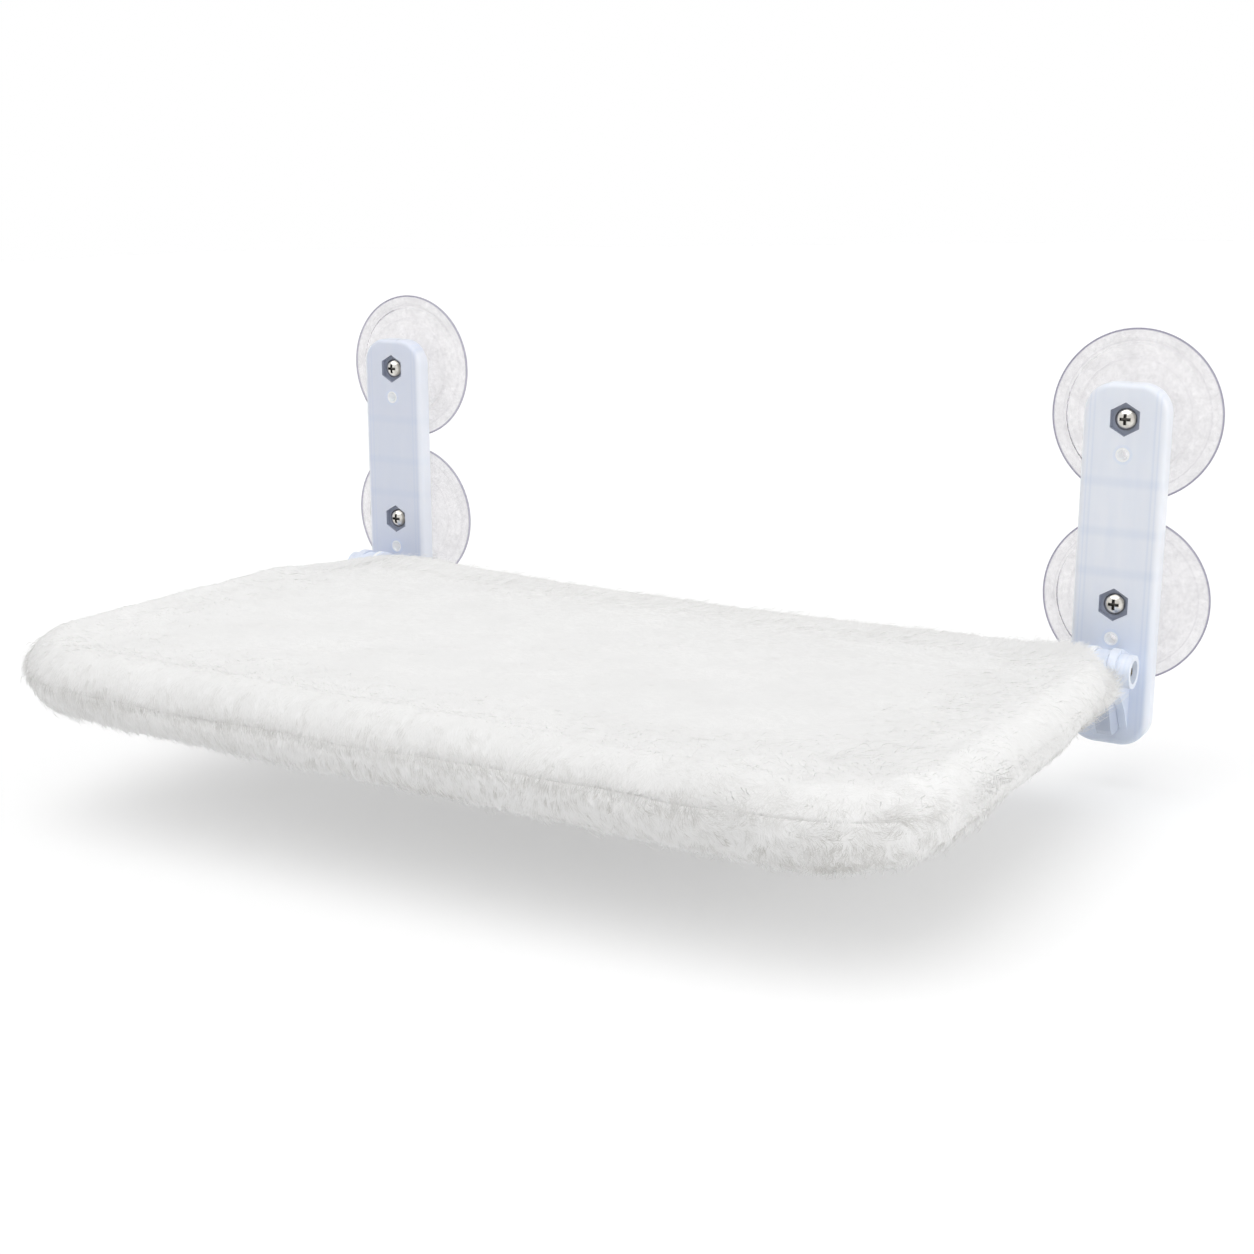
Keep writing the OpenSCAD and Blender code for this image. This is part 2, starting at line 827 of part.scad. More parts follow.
// Closed skin through a stack of rings, with a point at each end
module ring_skin(rings, start, end, flip) {
  n = len(rings[0]);
  m = len(rings);
  points = concat([start], [for (ring = rings) for (p = ring) p], [end]);
  last = m * n + 1;
  faces = concat(
    [for (j = [0 : n - 1]) [0, 1 + j, 1 + (j + 1) % n]],
    [
      for (k = [0 : m - 2], j = [0 : n - 1], half = [0, 1])
        let (a = 1 + k * n + j, b = 1 + k * n + (j + 1) % n, c = a + n, d = b + n)
        half == 0 ? [a, c, b] : [b, c, d]
    ],
    [for (j = [0 : n - 1]) [last, 1 + (m - 1) * n + (j + 1) % n, 1 + (m - 1) * n + j]]
  );
  polyhedron(points, flip ? [for (f = faces) backwards(f)] : faces);
}

// Slots in the cover's rear corners, through which the hinge arms come out
module arm_slots() {
  for (m = [0, 1])
    mirror([m, 0, 0])
      translate([arm_x - arm_t / 2 - slot_gap, rear_y - rear_bend_r / 2, bed_rise - tongue_h / 2 - 2 * slot_gap])
        cube([arm_t + 2 * slot_gap, rear_bend_r / 2 + roll_r + cut, tongue_h + 4 * slot_gap]);
}

module cover_half(side, shoulder, inner, lining, lining_inner, flip) {
  outer = face_rings(side, roll_r, seam_lead_angle, roll_steps, shoulder, inner, 0);
  inside = face_rings(side, roll_r - cover_t, 0, lining_steps, lining, lining_inner, cover_t);
  tip_up = inner[len(inner) - 1][1] * roll_r;
  lining_up = lining_inner[len(lining_inner) - 1][1] * roll_r;
  color("whitesmoke")
    difference() {
      ring_skin(
        concat(backwards(outer), [seam_ring(side)], inside),
        [0, bed_mid_y, bed_rise + side * tip_up],
        [0, bed_mid_y, bed_rise + side * (lining_up - cover_t)],
        flip
      );
      arm_slots();
    }
}

module cover_top() {
  cover_half(1, top_shoulder_shares, top_inner_shares, top_lining_shares, lining_inner_shares, true);
}

module cover_bottom() {
  cover_half(-1, low_shoulder_shares, low_inner_shares, low_lining_shares, low_inner_shares, false);
}

// Tape with the closed coil below it and a stop at each end
module zip_tape() {
  color("white") {
    translate([-zip_l / 2, zip_y - tape_w / 2, zip_top_z - tape_t])
      cube([zip_l, tape_w, tape_t]);
    translate([-zip_l / 2 + zip_end_l, zip_y - coil_w / 2, zip_top_z - tape_t - coil_h])
      cube([zip_l - 2 * zip_end_l, coil_w, coil_h + tape_t / 2]);
    for (m = [0, 1])
      mirror([m, 0, 0])
        translate([zip_l / 2 - zip_end_l, zip_y - coil_w / 2 - tape_t, zip_top_z - tape_t - coil_h - tape_t])
          cube([stop_l, coil_w + 2 * tape_t, coil_h + tape_t + tape_t / 2]);
  }
}

// Slider body: a channel over the coil with the arch that carries the pull
module zip_slider() {
  body_w = slider_w + 2 * slider_gap;
  color("silver")
    difference() {
      union() {
        translate([slider_x - slider_l / 2, zip_y, slider_low_z])
          linear_extrude(slider_top_z - slider_low_z)
            rounded_area([0, -body_w / 2], [slider_l, body_w / 2], slider_nose_r);
        translate([slider_x - arch_l / 2, zip_y - arch_w / 2, arch_low_z])
          cube([arch_l, arch_w, arch_h]);
      }
      translate([slider_x - slider_l, zip_y - coil_w / 2 - slider_gap, slider_low_z + slider_wall - slider_gap])
        cube([2 * slider_l, coil_w + 2 * slider_gap, coil_h + 3 * slider_gap]);
      translate([slider_x, zip_y + arch_w, pull_pivot_z])
        rotate([90, 0, 0])
          cylinder(h = 2 * arch_w, d = pull_pin_d + 2 * run_gap);
    }
}

// Pull tab that hangs from its pin in the slider's arch
module zip_pull() {
  cheek_y = arch_w / 2 + slider_gap;
  half_y = cheek_y + pull_cheek_t;
  color("silver")
    difference() {
      union() {
        translate([slider_x, zip_y + half_y, pull_pivot_z])
          rotate([90, 0, 0])
            cylinder(h = 2 * half_y, d = pull_pin_d);
        for (s = [-1, 1])
          translate([slider_x - pull_t / 2, zip_y + s * (cheek_y + pull_cheek_t / 2) - pull_cheek_t / 2, 0])
            translate([0, 0, pull_pivot_z - arch_h])
              cube([pull_t, pull_cheek_t, arch_h]);
        translate([slider_x - pull_t / 2, zip_y, pull_pivot_z - pull_l])
          rotate([90, 0, 90])
            linear_extrude(pull_t)
              rounded_area([-pull_w / 2, 0], [pull_w / 2, pull_l - arch_h + slider_wall], pull_hole_d / 2);
      }
      translate([slider_x - pull_t, zip_y, pull_pivot_z - pull_l + pull_hole_d])
        rotate([0, 90, 0])
          cylinder(h = 2 * pull_t, d = pull_hole_d);
    }
}

bracket_left();
bracket_right();
cup_upper_left();
cup_lower_left();
cup_upper_right();
cup_lower_right();
cup_screws();
cup_inserts();
pivot_bolts();
pivot_nuts();
hinge_arm_left();
hinge_arm_right();
front_tube();
rear_tube();
tube_screws();
edge_foam();
support_sling();
sleep_pad();
cover_top();
cover_bottom();
zip_tape();
zip_slider();
zip_pull();
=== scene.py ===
import itertools
import math

import bmesh
import bpy
import numpy as np
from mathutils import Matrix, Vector, kdtree


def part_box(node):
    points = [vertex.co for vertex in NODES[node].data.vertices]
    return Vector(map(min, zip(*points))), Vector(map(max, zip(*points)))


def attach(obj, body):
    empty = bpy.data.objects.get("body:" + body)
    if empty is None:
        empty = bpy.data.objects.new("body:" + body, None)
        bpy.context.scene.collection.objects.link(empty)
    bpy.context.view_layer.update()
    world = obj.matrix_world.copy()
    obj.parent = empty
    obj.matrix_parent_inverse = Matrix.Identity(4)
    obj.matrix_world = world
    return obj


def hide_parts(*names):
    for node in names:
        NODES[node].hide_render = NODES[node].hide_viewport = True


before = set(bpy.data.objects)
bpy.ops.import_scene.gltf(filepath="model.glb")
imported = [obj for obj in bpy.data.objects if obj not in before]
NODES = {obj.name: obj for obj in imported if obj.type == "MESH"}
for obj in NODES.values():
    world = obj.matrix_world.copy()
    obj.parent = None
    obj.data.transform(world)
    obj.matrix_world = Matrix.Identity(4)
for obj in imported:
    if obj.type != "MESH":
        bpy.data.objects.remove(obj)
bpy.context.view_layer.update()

MM = 0.001

# Sizes of the construction, in metres, with the names that the source gives them
ROLL_R = 16.5 * MM
PATH_X = 231.5 * MM
REAR_Y = -67 * MM
FRONT_Y = -312 * MM
FRONT_BEND_R = 45 * MM
REAR_BEND_R = 28.6 * MM
REAR_SLACK = 3.2 * MM
BED_RISE = -1.7 * MM
COVER_T = 2.2 * MM
HEM_R = 9.25 * MM
SLING_T = 1.2 * MM
SLING_X = 173.9 * MM
FOAM_R = 13.2 * MM
FOAM_BORE_R = 9.55 * MM
FOAM_START_Y = -124.6 * MM
ARM_X = 229 * MM
ARM_T = 7.6 * MM
ARM_H = 17 * MM
BRACKET_X = 226 * MM
PLATE_FRONT_Y = -20.3 * MM
CUP_SCREW_Z = (28 * MM, 120.6 * MM)
CUP_R = 43 * MM
SPARE_DROP = 17.3 * MM
RIB_Z = (44.2 * MM, 64.6 * MM, 89.6 * MM)
ZIP_TOP_Z = -14.375 * MM
ZIP_Y = -113 * MM
ZIP_L = 340 * MM
TAPE_W = 28 * MM
TAPE_T = 0.8 * MM
COIL_W = 5.6 * MM
COIL_H = 1.8 * MM
COIL_L = 322 * MM
FLOOR_Z = -74 * MM
FLOOR_TILT = 0.03


def add_object(name, data):
    made = bpy.data.objects.new(name, data)
    bpy.context.scene.collection.objects.link(made)
    return made


# Camera, fitted to the cups, the screws and the bed's outline in the photograph

camera_data = bpy.data.cameras.new("camera")
camera_data.sensor_width = 36
camera_data.lens = 53.97
camera = add_object("camera", camera_data)
camera.location = (0.4948, -0.9258, 0.2409)
camera.rotation_euler = (math.radians(90 - 13.8), 0, math.radians(31.4))
bpy.context.scene.camera = camera


# Node helpers

def maths(tree, operation, *values, clamp=False):
    """A Math node on numbers and sockets."""
    node = tree.nodes.new("ShaderNodeMath")
    node.operation, node.use_clamp = operation, clamp
    for socket, value in zip(node.inputs, values):
        if isinstance(value, (int, float)):
            socket.default_value = value
        else:
            tree.links.new(value, socket)
    return node.outputs[0]


class Nodes:
    """A material's node tree, with short calls for what the materials below need."""

    def __init__(self, name):
        self.material = bpy.data.materials.new(name)
        self.material.use_nodes = True
        self.tree = self.material.node_tree
        self.shader = self.tree.nodes["Principled BSDF"]
        self.place = self.tree.nodes.new("ShaderNodeTexCoord").outputs["Object"]

    def set(self, **values):
        for name, value in values.items():
            self.shader.inputs[name.replace("_", " ")].default_value = value
        return self

    def join(self, a, b):
        self.tree.links.new(a, b)

    def noise(self, size, detail=3.0, rough=0.55, stretch=None):
        """Noise whose features are about size metres wide, 0 to 1."""
        node = self.tree.nodes.new("ShaderNodeTexNoise")
        node.inputs["Scale"].default_value = 1 / size
        node.inputs["Detail"].default_value = detail
        node.inputs["Roughness"].default_value = rough
        self.join(self.stretched(stretch) if stretch else self.place, node.inputs["Vector"])
        return node.outputs["Fac"]

    def stretched(self, scale):
        node = self.tree.nodes.new("ShaderNodeMapping")
        node.inputs["Scale"].default_value = scale
        self.join(self.place, node.inputs["Vector"])
        return node.outputs["Vector"]

    def ramp(self, value, low, high, a=0.35, b=0.65):
        """Colour between low and high as value goes from a to b."""
        node = self.tree.nodes.new("ShaderNodeValToRGB")
        node.color_ramp.elements[0].position = a
        node.color_ramp.elements[1].position = b
        node.color_ramp.elements[0].color = (*low, 1)
        node.color_ramp.elements[1].color = (*high, 1)
        self.join(value, node.inputs["Fac"])
        return node.outputs["Color"]

    def math(self, operation, *values, clamp=False):
        return maths(self.tree, operation, *values, clamp=clamp)

    def past(self, value, start, over):
        """0 where value is below start, rising to 1 where it lies that far over it."""
        return self.math("DIVIDE", self.math("SUBTRACT", value, start), over, clamp=True)

    def axis(self, name):
        node = self.tree.nodes.new("ShaderNodeSeparateXYZ")
        self.join(self.place, node.inputs[0])
        return node.outputs[name]

    def mix(self, share, a, b):
        """Colour a where share is 0, colour b where it is 1."""
        node = self.tree.nodes.new("ShaderNodeMix")
        node.data_type = "RGBA"
        for socket, value in zip((node.inputs[0], node.inputs[6], node.inputs[7]), (share, a, b)):
            if isinstance(value, tuple):
                socket.default_value = (*value, 1)
            elif isinstance(value, (int, float)):
                socket.default_value = value
            else:
                self.join(value, socket)
        return node.outputs[2]

    def tint(self, base, share, amount, colour):
        """The base, mixed by that amount with a colour where share is 1."""
        return self.mix(self.math("MULTIPLY", share, amount), base, colour)

    def colour(self, value):
        self.join(value, self.shader.inputs["Base Color"])
        return self

    def rough(self, value, low, high):
        node = self.tree.nodes.new("ShaderNodeMapRange")
        node.inputs["To Min"].default_value = low
        node.inputs["To Max"].default_value = high
        self.join(value, node.inputs["Value"])
        self.join(node.outputs["Result"], self.shader.inputs["Roughness"])
        return self

    def bump(self, height, depth, strength=1.0):
        node = self.tree.nodes.new("ShaderNodeBump")
        node.inputs["Strength"].default_value = strength
        node.inputs["Distance"].default_value = depth
        self.join(height, node.inputs["Height"])
        self.join(node.outputs["Normal"], self.shader.inputs["Normal"])
        return self

    def from_screws(self, drop=0):
        """Distance from the nearest cup screw's axis, or from a line that far below it."""
        nearest = 1
        across = self.math("SUBTRACT", self.math("ABSOLUTE", self.axis("X")), BRACKET_X)
        for z in CUP_SCREW_Z:
            up = self.math("SUBTRACT", self.axis("Z"), z - drop)
            square = self.math("MULTIPLY_ADD", across, across, self.math("MULTIPLY", up, up))
            nearest = self.math("MINIMUM", self.math("SQRT", square), nearest)
        return nearest

    def line(self, value, at, half, soft):
        """1 where value lies within half of a place, fading to 0 over soft."""
        return self.past(half + soft, self.math("ABSOLUTE", self.math("SUBTRACT", value, at)), soft)


# Materials

def plush_material():
    n = Nodes("plush")
    n.set(Roughness=0.95, Sheen_Weight=0.25, Sheen_Roughness=0.6, Specular_IOR_Level=0.2)
    broad = n.noise(0.03, 3)
    n.colour(n.ramp(broad, (0.84, 0.837, 0.83), (0.90, 0.897, 0.89), 0.3, 0.7))
    return n.bump(n.noise(0.0012, 4, 0.7), 0.0004, 0.6).material


def pile_material():
    """White fibres whose tone the mesh carries: it differs at random from lock to lock, and holds painted
    shade at the roots and painted light at the tips.
    """
    n = Nodes("pile")
    n.set(Roughness=0.85, Sheen_Weight=0.15, Sheen_Roughness=0.5, Specular_IOR_Level=0.25)
    tone = n.tree.nodes.new("ShaderNodeAttribute")
    tone.attribute_name = "tone"
    white = n.ramp(tone.outputs["Fac"], (0.60, 0.591, 0.571), (0.912, 0.911, 0.909), 0.0, 1.0)
    n.colour(n.tint(white, n.noise(0.009, 4, 0.65), 0.12, (0.80, 0.79, 0.77)))
    return n.rough(n.noise(0.004), 0.75, 0.95).material


def backing_material():
    n = Nodes("cover_backing")
    n.set(Roughness=0.9, Specular_IOR_Level=0.3)
    rows = n.noise(0.0011, 2, 0.5, (1, 0.25, 1))
    n.colour(n.ramp(rows, (0.70, 0.69, 0.67), (0.86, 0.85, 0.83)))
    return n.bump(rows, 0.0003, 0.6).material


def bracket_material():
    """Pale, faintly translucent plastic: darker painted bands stand for each rib and wall of the cored back
    showing through. Also painted: shade low down, on the left bracket and in the screw pockets, and light on
    the plates' sides and in and round the spare holes.
    """
    n = Nodes("bracket_plastic")
    n.set(Subsurface_Weight=0.22, Subsurface_Radius=(0.8, 0.9, 1.0), Subsurface_Scale=0.005,
          IOR=1.49, Coat_Weight=0.12, Coat_Roughness=0.2)
    flow = n.noise(0.012, 3, 0.5, (2.2, 1, 0.35))
    base = n.ramp(flow, (0.83, 0.87, 0.965), (0.875, 0.905, 0.985), 0.3, 0.7)
    # Painted shade: darker towards the bottom, under the bed.
    base = n.tint(base, n.past(34 * MM, n.axis("Z"), 46 * MM), 0.7, (0.67, 0.745, 0.88))
    # Painted shade: the left bracket darker than the right.
    base = n.tint(base, n.past(0.0, n.axis("X"), 0.2), 0.55, (0.66, 0.70, 0.82))
    # Painted shade: darker bands where each rib and wall of the cored back shows through the plastic.
    rib_shade = 0
    for z in RIB_Z:
        rib_shade = n.math("MAXIMUM", rib_shade, n.line(n.axis("Z"), z, 1.0 * MM, 2.4 * MM))
    base = n.tint(base, rib_shade, 0.2, (0.60, 0.68, 0.84))
    out = n.math("ABSOLUTE", n.math("SUBTRACT", n.math("ABSOLUTE", n.axis("X")), BRACKET_X))
    wall_shade = n.math("MAXIMUM", n.line(out, 15.2 * MM, 0.25 * MM, 0.5 * MM),
                   n.line(out, 17.4 * MM, 0.2 * MM, 0.4 * MM))
    base = n.tint(base, wall_shade, 0.22, (0.60, 0.68, 0.86))
    # Painted highlight on the plates' sides.
    base = n.tint(base, n.past(out, 18.2 * MM, 1.2 * MM), 0.5, (0.93, 0.95, 1.0))
    # Painted shade down in the screw pockets.
    behind = n.math("GREATER_THAN", n.axis("Y"), PLATE_FRONT_Y + 0.25 * MM)
    pocket_shade = n.math("MULTIPLY", n.math("LESS_THAN", n.from_screws(), 8.6 * MM), behind)
    base = n.tint(base, pocket_shade, 0.85, (0.27, 0.30, 0.39))
    # Painted light: a pale bluish ring round each spare hole and a near-white inside.
    from_spare = n.from_screws(SPARE_DROP)
    base = n.tint(base, n.line(from_spare, 4.0 * MM, 0.5 * MM, 0.8 * MM), 0.25, (0.66, 0.77, 0.98))
    n.colour(n.mix(n.math("LESS_THAN", from_spare, 3.5 * MM), base, (0.97, 0.985, 1.0)))
    n.rough(flow, 0.24, 0.36)
    return n.bump(n.noise(0.0009, 2), 0.00006, 0.35).material


def arm_material():
    n = Nodes("arm_plastic")
    n.set(Subsurface_Weight=0.15, Subsurface_Radius=(0.8, 0.9, 1.0), Subsurface_Scale=0.004, IOR=1.49)
    grain = n.noise(0.010, 3)
    base = n.ramp(grain, (0.72, 0.79, 0.92), (0.79, 0.84, 0.95))
    # Painted shade: darker towards the bottom, under the bed and its fur.
    n.colour(n.tint(base, n.past(-3 * MM, n.axis("Z"), 14 * MM), 0.8, (0.50, 0.55, 0.66)))
    n.rough(grain, 0.28, 0.42)
    return n.bump(n.noise(0.0008, 2), 0.00006, 0.4).material


def vinyl_material():
    """Clear soft vinyl: cloudy, with a painted grey line round the rim and fainter ones on its rings, which
    stand for light bent there, and painted light where a spare hole looks onto the cup.
    """
    n = Nodes("cup_vinyl")
    n.set(Transmission_Weight=0.88, IOR=1.18, Specular_IOR_Level=0.5)
    cloud = n.math("MULTIPLY_ADD", n.noise(0.0024, 4, 0.7), 0.65,
                   n.math("MULTIPLY", n.noise(0.014, 3), 0.35))
    base = n.ramp(cloud, (0.77, 0.76, 0.775), (0.94, 0.93, 0.94), 0.38, 0.62)
    away = n.from_screws()
    # Painted lines on the rings and round the rim, which stand for light bent in the vinyl there.
    rings = n.math("MAXIMUM", n.line(away, 0.663 * CUP_R, 0.15 * MM, 0.4 * MM),
                   n.line(away, 0.86 * CUP_R, 0.1 * MM, 0.4 * MM))
    base = n.tint(base, rings, 0.3, (0.60, 0.58, 0.62))
    base = n.tint(base, n.past(away, CUP_R - 1.1 * MM, 0.5 * MM), 0.9, (0.25, 0.24, 0.34))
    # Painted light: white where a spare hole looks onto the cup.
    n.colour(n.mix(n.math("LESS_THAN", n.from_screws(SPARE_DROP), 3.6 * MM), base, (1.0, 1.0, 1.0)))
    n.rough(n.noise(0.006, 4), 0.10, 0.25)
    return n.bump(n.noise(0.0022, 4, 0.6), 0.0002, 0.3).material


def metal_nodes(name, low, high, rough, grain=0.0006):
    n = Nodes(name)
    n.set(Metallic=1.0)
    marks = n.noise(grain, 3, 0.6)
    n.rough(marks, rough * 0.7, rough * 1.4)
    n.bump(marks, 0.00001, 0.25)
    return n, n.ramp(n.noise(0.004, 3), low, high)


def metal_material(name, low, high, rough):
    n, base = metal_nodes(name, low, high, rough)
    return n.colour(base).material


def screw_material():
    """Nickel plate, with painted dark reflections round the rim of each cup screw's head and painted shade
    down in its cross recess.
    """
    n, base = metal_nodes("nickel", (0.66, 0.63, 0.58), (0.80, 0.78, 0.74), 0.16)
    away = n.from_screws()
    # Painted dark reflections round the rim of each cup screw's head.
    rim = n.math("MULTIPLY", n.past(away, 3.9 * MM, 0.9 * MM), n.math("LESS_THAN", away, 6 * MM))
    base = n.tint(base, rim, 0.75, (0.20, 0.19, 0.17))
    across = n.math("ABSOLUTE", n.math("SUBTRACT", n.math("ABSOLUTE", n.axis("X")), BRACKET_X))
    # Painted shade down in each cross recess.
    cross = 0
    for z in CUP_SCREW_Z:
        up = n.math("ABSOLUTE", n.math("SUBTRACT", n.axis("Z"), z))
        for a, b in ((across, up), (up, across)):
            arm = n.math("MULTIPLY", n.math("LESS_THAN", a, 0.8 * MM), n.math("LESS_THAN", b, 2.75 * MM))
            cross = n.math("MAXIMUM", cross, arm)
    return n.colour(n.tint(base, cross, 0.93, (0.03, 0.028, 0.025))).material


def steel_tube_material():
    n = Nodes("frame_steel")
    n.set(Metallic=0.0, Coat_Weight=0.2, Coat_Roughness=0.3)
    n.colour(n.ramp(n.noise(0.006, 4), (0.045, 0.046, 0.05), (0.075, 0.076, 0.08)))
    n.rough(n.noise(0.0007), 0.38, 0.55)
    return n.bump(n.noise(0.0007, 2), 0.00008, 0.6).material


def foam_material(name, low, high):
    n = Nodes(name)
    n.set(Roughness=0.95, Specular_IOR_Level=0.25)
    cells = n.noise(0.0013, 4, 0.75)
    n.colour(n.ramp(cells, low, high, 0.3, 0.6))
    return n.bump(cells, 0.0008, 0.9).material


def weave_material(name, low, high, pitch, depth, axes=("X", "Y")):
    """Plain weave: threads of two directions pass over and under each other."""
    n = Nodes(name)
    n.set(Roughness=0.85, Sheen_Weight=0.1, Specular_IOR_Level=0.3)
    turn = 2 * math.pi / pitch
    a, b = (n.math("SINE", n.math("MULTIPLY", n.axis(axis), turn)) for axis in axes)
    over = n.math("MULTIPLY_ADD", n.math("MULTIPLY", a, b), 0.5, 0.5)
    worn = n.math("MULTIPLY_ADD", n.noise(0.004, 3), 0.5, n.math("MULTIPLY", over, 0.5))
    n.colour(n.ramp(worn, low, high, 0.25, 0.7))
    return n.bump(over, depth, 0.8).material


# Value noise, for shapes

def noise(points, size, seed):
    """Smooth noise from -1 to 1 at an array of points, with cells of that size."""
    scaled = points / size + 31.7 * seed
    cell = np.floor(scaled).astype(np.int64)
    part = scaled - cell
    part = part * part * (3 - 2 * part)
    total = np.zeros(len(points))
    for corner in itertools.product((0, 1), repeat=3):
        c = cell + np.array(corner)
        h = (c[:, 0] * 73856093) ^ (c[:, 1] * 19349663) ^ (c[:, 2] * 83492791) ^ (seed * 9176263)
        h = ((h ^ (h >> 13)) * 1274126177) & 0xFFFFFFFF
        h = (h ^ (h >> 16)) & 0xFFFFFF
        total += h * np.prod(np.where(corner, part, 1 - part), axis=1)
    return total / 0x7FFFFF - 1


def fractal(points, size, seed, octaves=3):
    return sum(noise(points, size / 2**k, seed + k) / 2**k for k in range(octaves)) / 1.6


def smooth_step(x, low, high):
    t = np.clip((x - low) / (high - low), 0, 1)
    return t * t * (3 - 2 * t)


def unit(v):
    return v / np.maximum(np.linalg.norm(v, axis=-1, keepdims=True), 1e-12)


# Meshes

def add_mesh(name, points, faces, material, smooth=True):
    mesh = bpy.data.meshes.new(name)
    mesh.from_pydata(points.tolist() if hasattr(points, "tolist") else points, [], faces)
    mesh.materials.append(material)
    if smooth:
        mesh.shade_smooth()
    return add_object(name, mesh)


def add_box(bm, size, centre):
    made = bmesh.ops.create_cube(bm, size=1)["verts"]
    bmesh.ops.scale(bm, vec=size, verts=made)
    bmesh.ops.translate(bm, vec=centre, verts=made)


def add_bmesh(name, bm):
    mesh = bpy.data.meshes.new(name)
    bm.to_mesh(mesh)
    bm.free()
    return add_object(name, mesh)


def apply_modifiers(piece):
    graph = bpy.context.evaluated_depsgraph_get()
    mesh = bpy.data.meshes.new_from_object(piece.evaluated_get(graph))
    old = piece.data
    piece.modifiers.clear()
    piece.data = mesh
    bpy.data.meshes.remove(old)


def ring_faces(rings, around, first=0):
    """Quads between rings of points, each ring closed on itself."""
    j = np.arange(around)
    k = (j + 1) % around
    quads = [np.stack([first + i * around + j, first + i * around + k,
                       first + (i + 1) * around + k, first + (i + 1) * around + j], 1)
             for i in range(rings - 1)]
    return np.concatenate(quads)


def add_sweep(name, grid, material):
    """A closed body through rings of points, capped at both ends."""
    rings, around = grid.shape[:2]
    last = (rings - 1) * around
    faces = ring_faces(rings, around).tolist()
    faces += [list(range(around))[::-1], list(range(last, last + around))]
    return add_mesh(name, grid.reshape(-1, 3), faces, material)


def two_sides(x, y, high, low):
    """Points and faces of a grid's upper and lower side, and the upper side's indices."""
    points = np.concatenate([np.stack([x, y, z], 2).reshape(-1, 3) for z in (high, low)])
    index = np.arange(x.size).reshape(x.shape)
    up = np.stack([index[:-1, :-1], index[:-1, 1:], index[1:, 1:], index[1:, :-1]], 2).reshape(-1, 4)
    return points, np.concatenate([up, up[:, ::-1] + x.size]), index


def add_bead(points, faces, centres, radii, a, b, flip=False, turns=6):
    """Adds a short closed tube through the centres, with its section in the plane of a and b."""
    first = len(points)
    for centre, r in zip(centres, radii):
        for k in range(turns):
            angle = 2 * math.pi * k / turns
            points.append(tuple(centre + (a * math.cos(angle) + b * math.sin(angle)) * r))
    last = len(points) - turns
    made = [[i + k, i + (k + 1) % turns, i + turns + (k + 1) % turns, i + turns + k]
            for i in range(first, last, turns) for k in range(turns)]
    made += [list(range(first, first + turns))[::-1], list(range(last, last + turns))]
    faces += [face[::-1] for face in made] if flip else made


# Outline of the bed: the centre line of its rolled edge

def outline(step):
    """Points, outward directions and share of the full roll, about step apart on the outer edge."""
    fx, fy = PATH_X - FRONT_BEND_R, FRONT_Y + FRONT_BEND_R
    rx, ry = PATH_X - REAR_BEND_R, REAR_Y - REAR_BEND_R
    parts = [
        ("bend", (fx, fy), FRONT_BEND_R, -90), ("run", (PATH_X, fy), (PATH_X, ry), 0),
        ("bend", (rx, ry), REAR_BEND_R, 0), ("run", (rx, REAR_Y), (-rx, REAR_Y), REAR_SLACK),
        ("bend", (-rx, ry), REAR_BEND_R, 90), ("run", (-PATH_X, ry), (-PATH_X, fy), 0),
        ("bend", (-fx, fy), FRONT_BEND_R, 180), ("run", (-fx, FRONT_Y), (fx, FRONT_Y), 0),
    ]
    rows = []
    for kind, a, b, c in parts:
        if kind == "bend":
            count = round((b + ROLL_R) * math.pi / 2 / step)
            angles = np.radians(c + 90 * np.arange(count) / count)
            out = np.stack([np.cos(angles), np.sin(angles)], 1)
            rows.append(np.column_stack([np.array(a) + b * out, out, np.ones(count)]))
        else:
            a, b = np.array(a), np.array(b)
            count = round(np.linalg.norm(b - a) / step)
            t = np.arange(count)[:, None] / count
            along = unit(b - a)
            out = np.tile([along[1], -along[0]], (count, 1))
            share = 1 - c / ROLL_R * np.sin(math.pi * t) ** 2
            rows.append(np.column_stack([a + (b - a) * t, out, share]))
    return np.concatenate(rows)


BED_MID = np.array([0, (FRONT_Y + REAR_Y) / 2])

# Section of the bed inside the roll, above (1) and below (-1), in shares of the roll's radius:
# reach and height of the shoulder's rings, then share of the way out and height of the inner rings
SHOULDERS = {
    1: [(-0.66, 0.925), (-0.94, 0.89), (-1.2, 0.885), (-1.5, 0.895)],
    -1: [(-0.66, 0.83), (-0.94, 0.74), (-1.2, 0.75), (-1.5, 0.75)],
}
INNER = {
    1: [(0.88, 0.895), (0.66, 0.875), (0.4, 0.84), (0.16, 0.82), (0.02, 0.82)],
    -1: [(0.88, 0.75), (0.66, 0.75), (0.4, 0.75), (0.16, 0.75), (0.02, 0.75)],
}
PLAIN_SHOULDER = 0.99
LAST_ANGLE = 108

# Height of the seam along the front, in mm over the middle plane, as it wanders in the photograph
SEAM_X = [-231, -200, -121, -72, -25, 18, 59, 112, 166, 200, 226]
SEAM_UP = [1.0, -1.0, -3.0, -1.4, -1.4, 0.3, 2.0, 2.4, 2.9, 5.2, 4.2]


def seam_height(path):
    """Height of the seam over the middle plane: it wanders along the front."""
    front = smooth_step(-path[:, 1], 0.262, 0.302)
    spots = np.column_stack([path[:, :2], np.zeros(len(path))])
    up = 1.8 * (1 - front) + np.interp(path[:, 0] / MM, SEAM_X, SEAM_UP) * front
    return (up + 0.6 * noise(spots, 0.03, 3) + 0.3 * noise(spots, 0.011, 4)) * MM


def crease_share(path):
    """How deep the valley inside the roll is: full along the front, half elsewhere, none on the right."""
    front = smooth_step(-path[:, 1], 0.250, 0.300)
    return (0.5 + 0.5 * front) * (1 - smooth_step(path[:, 0], 0.06, 0.16))


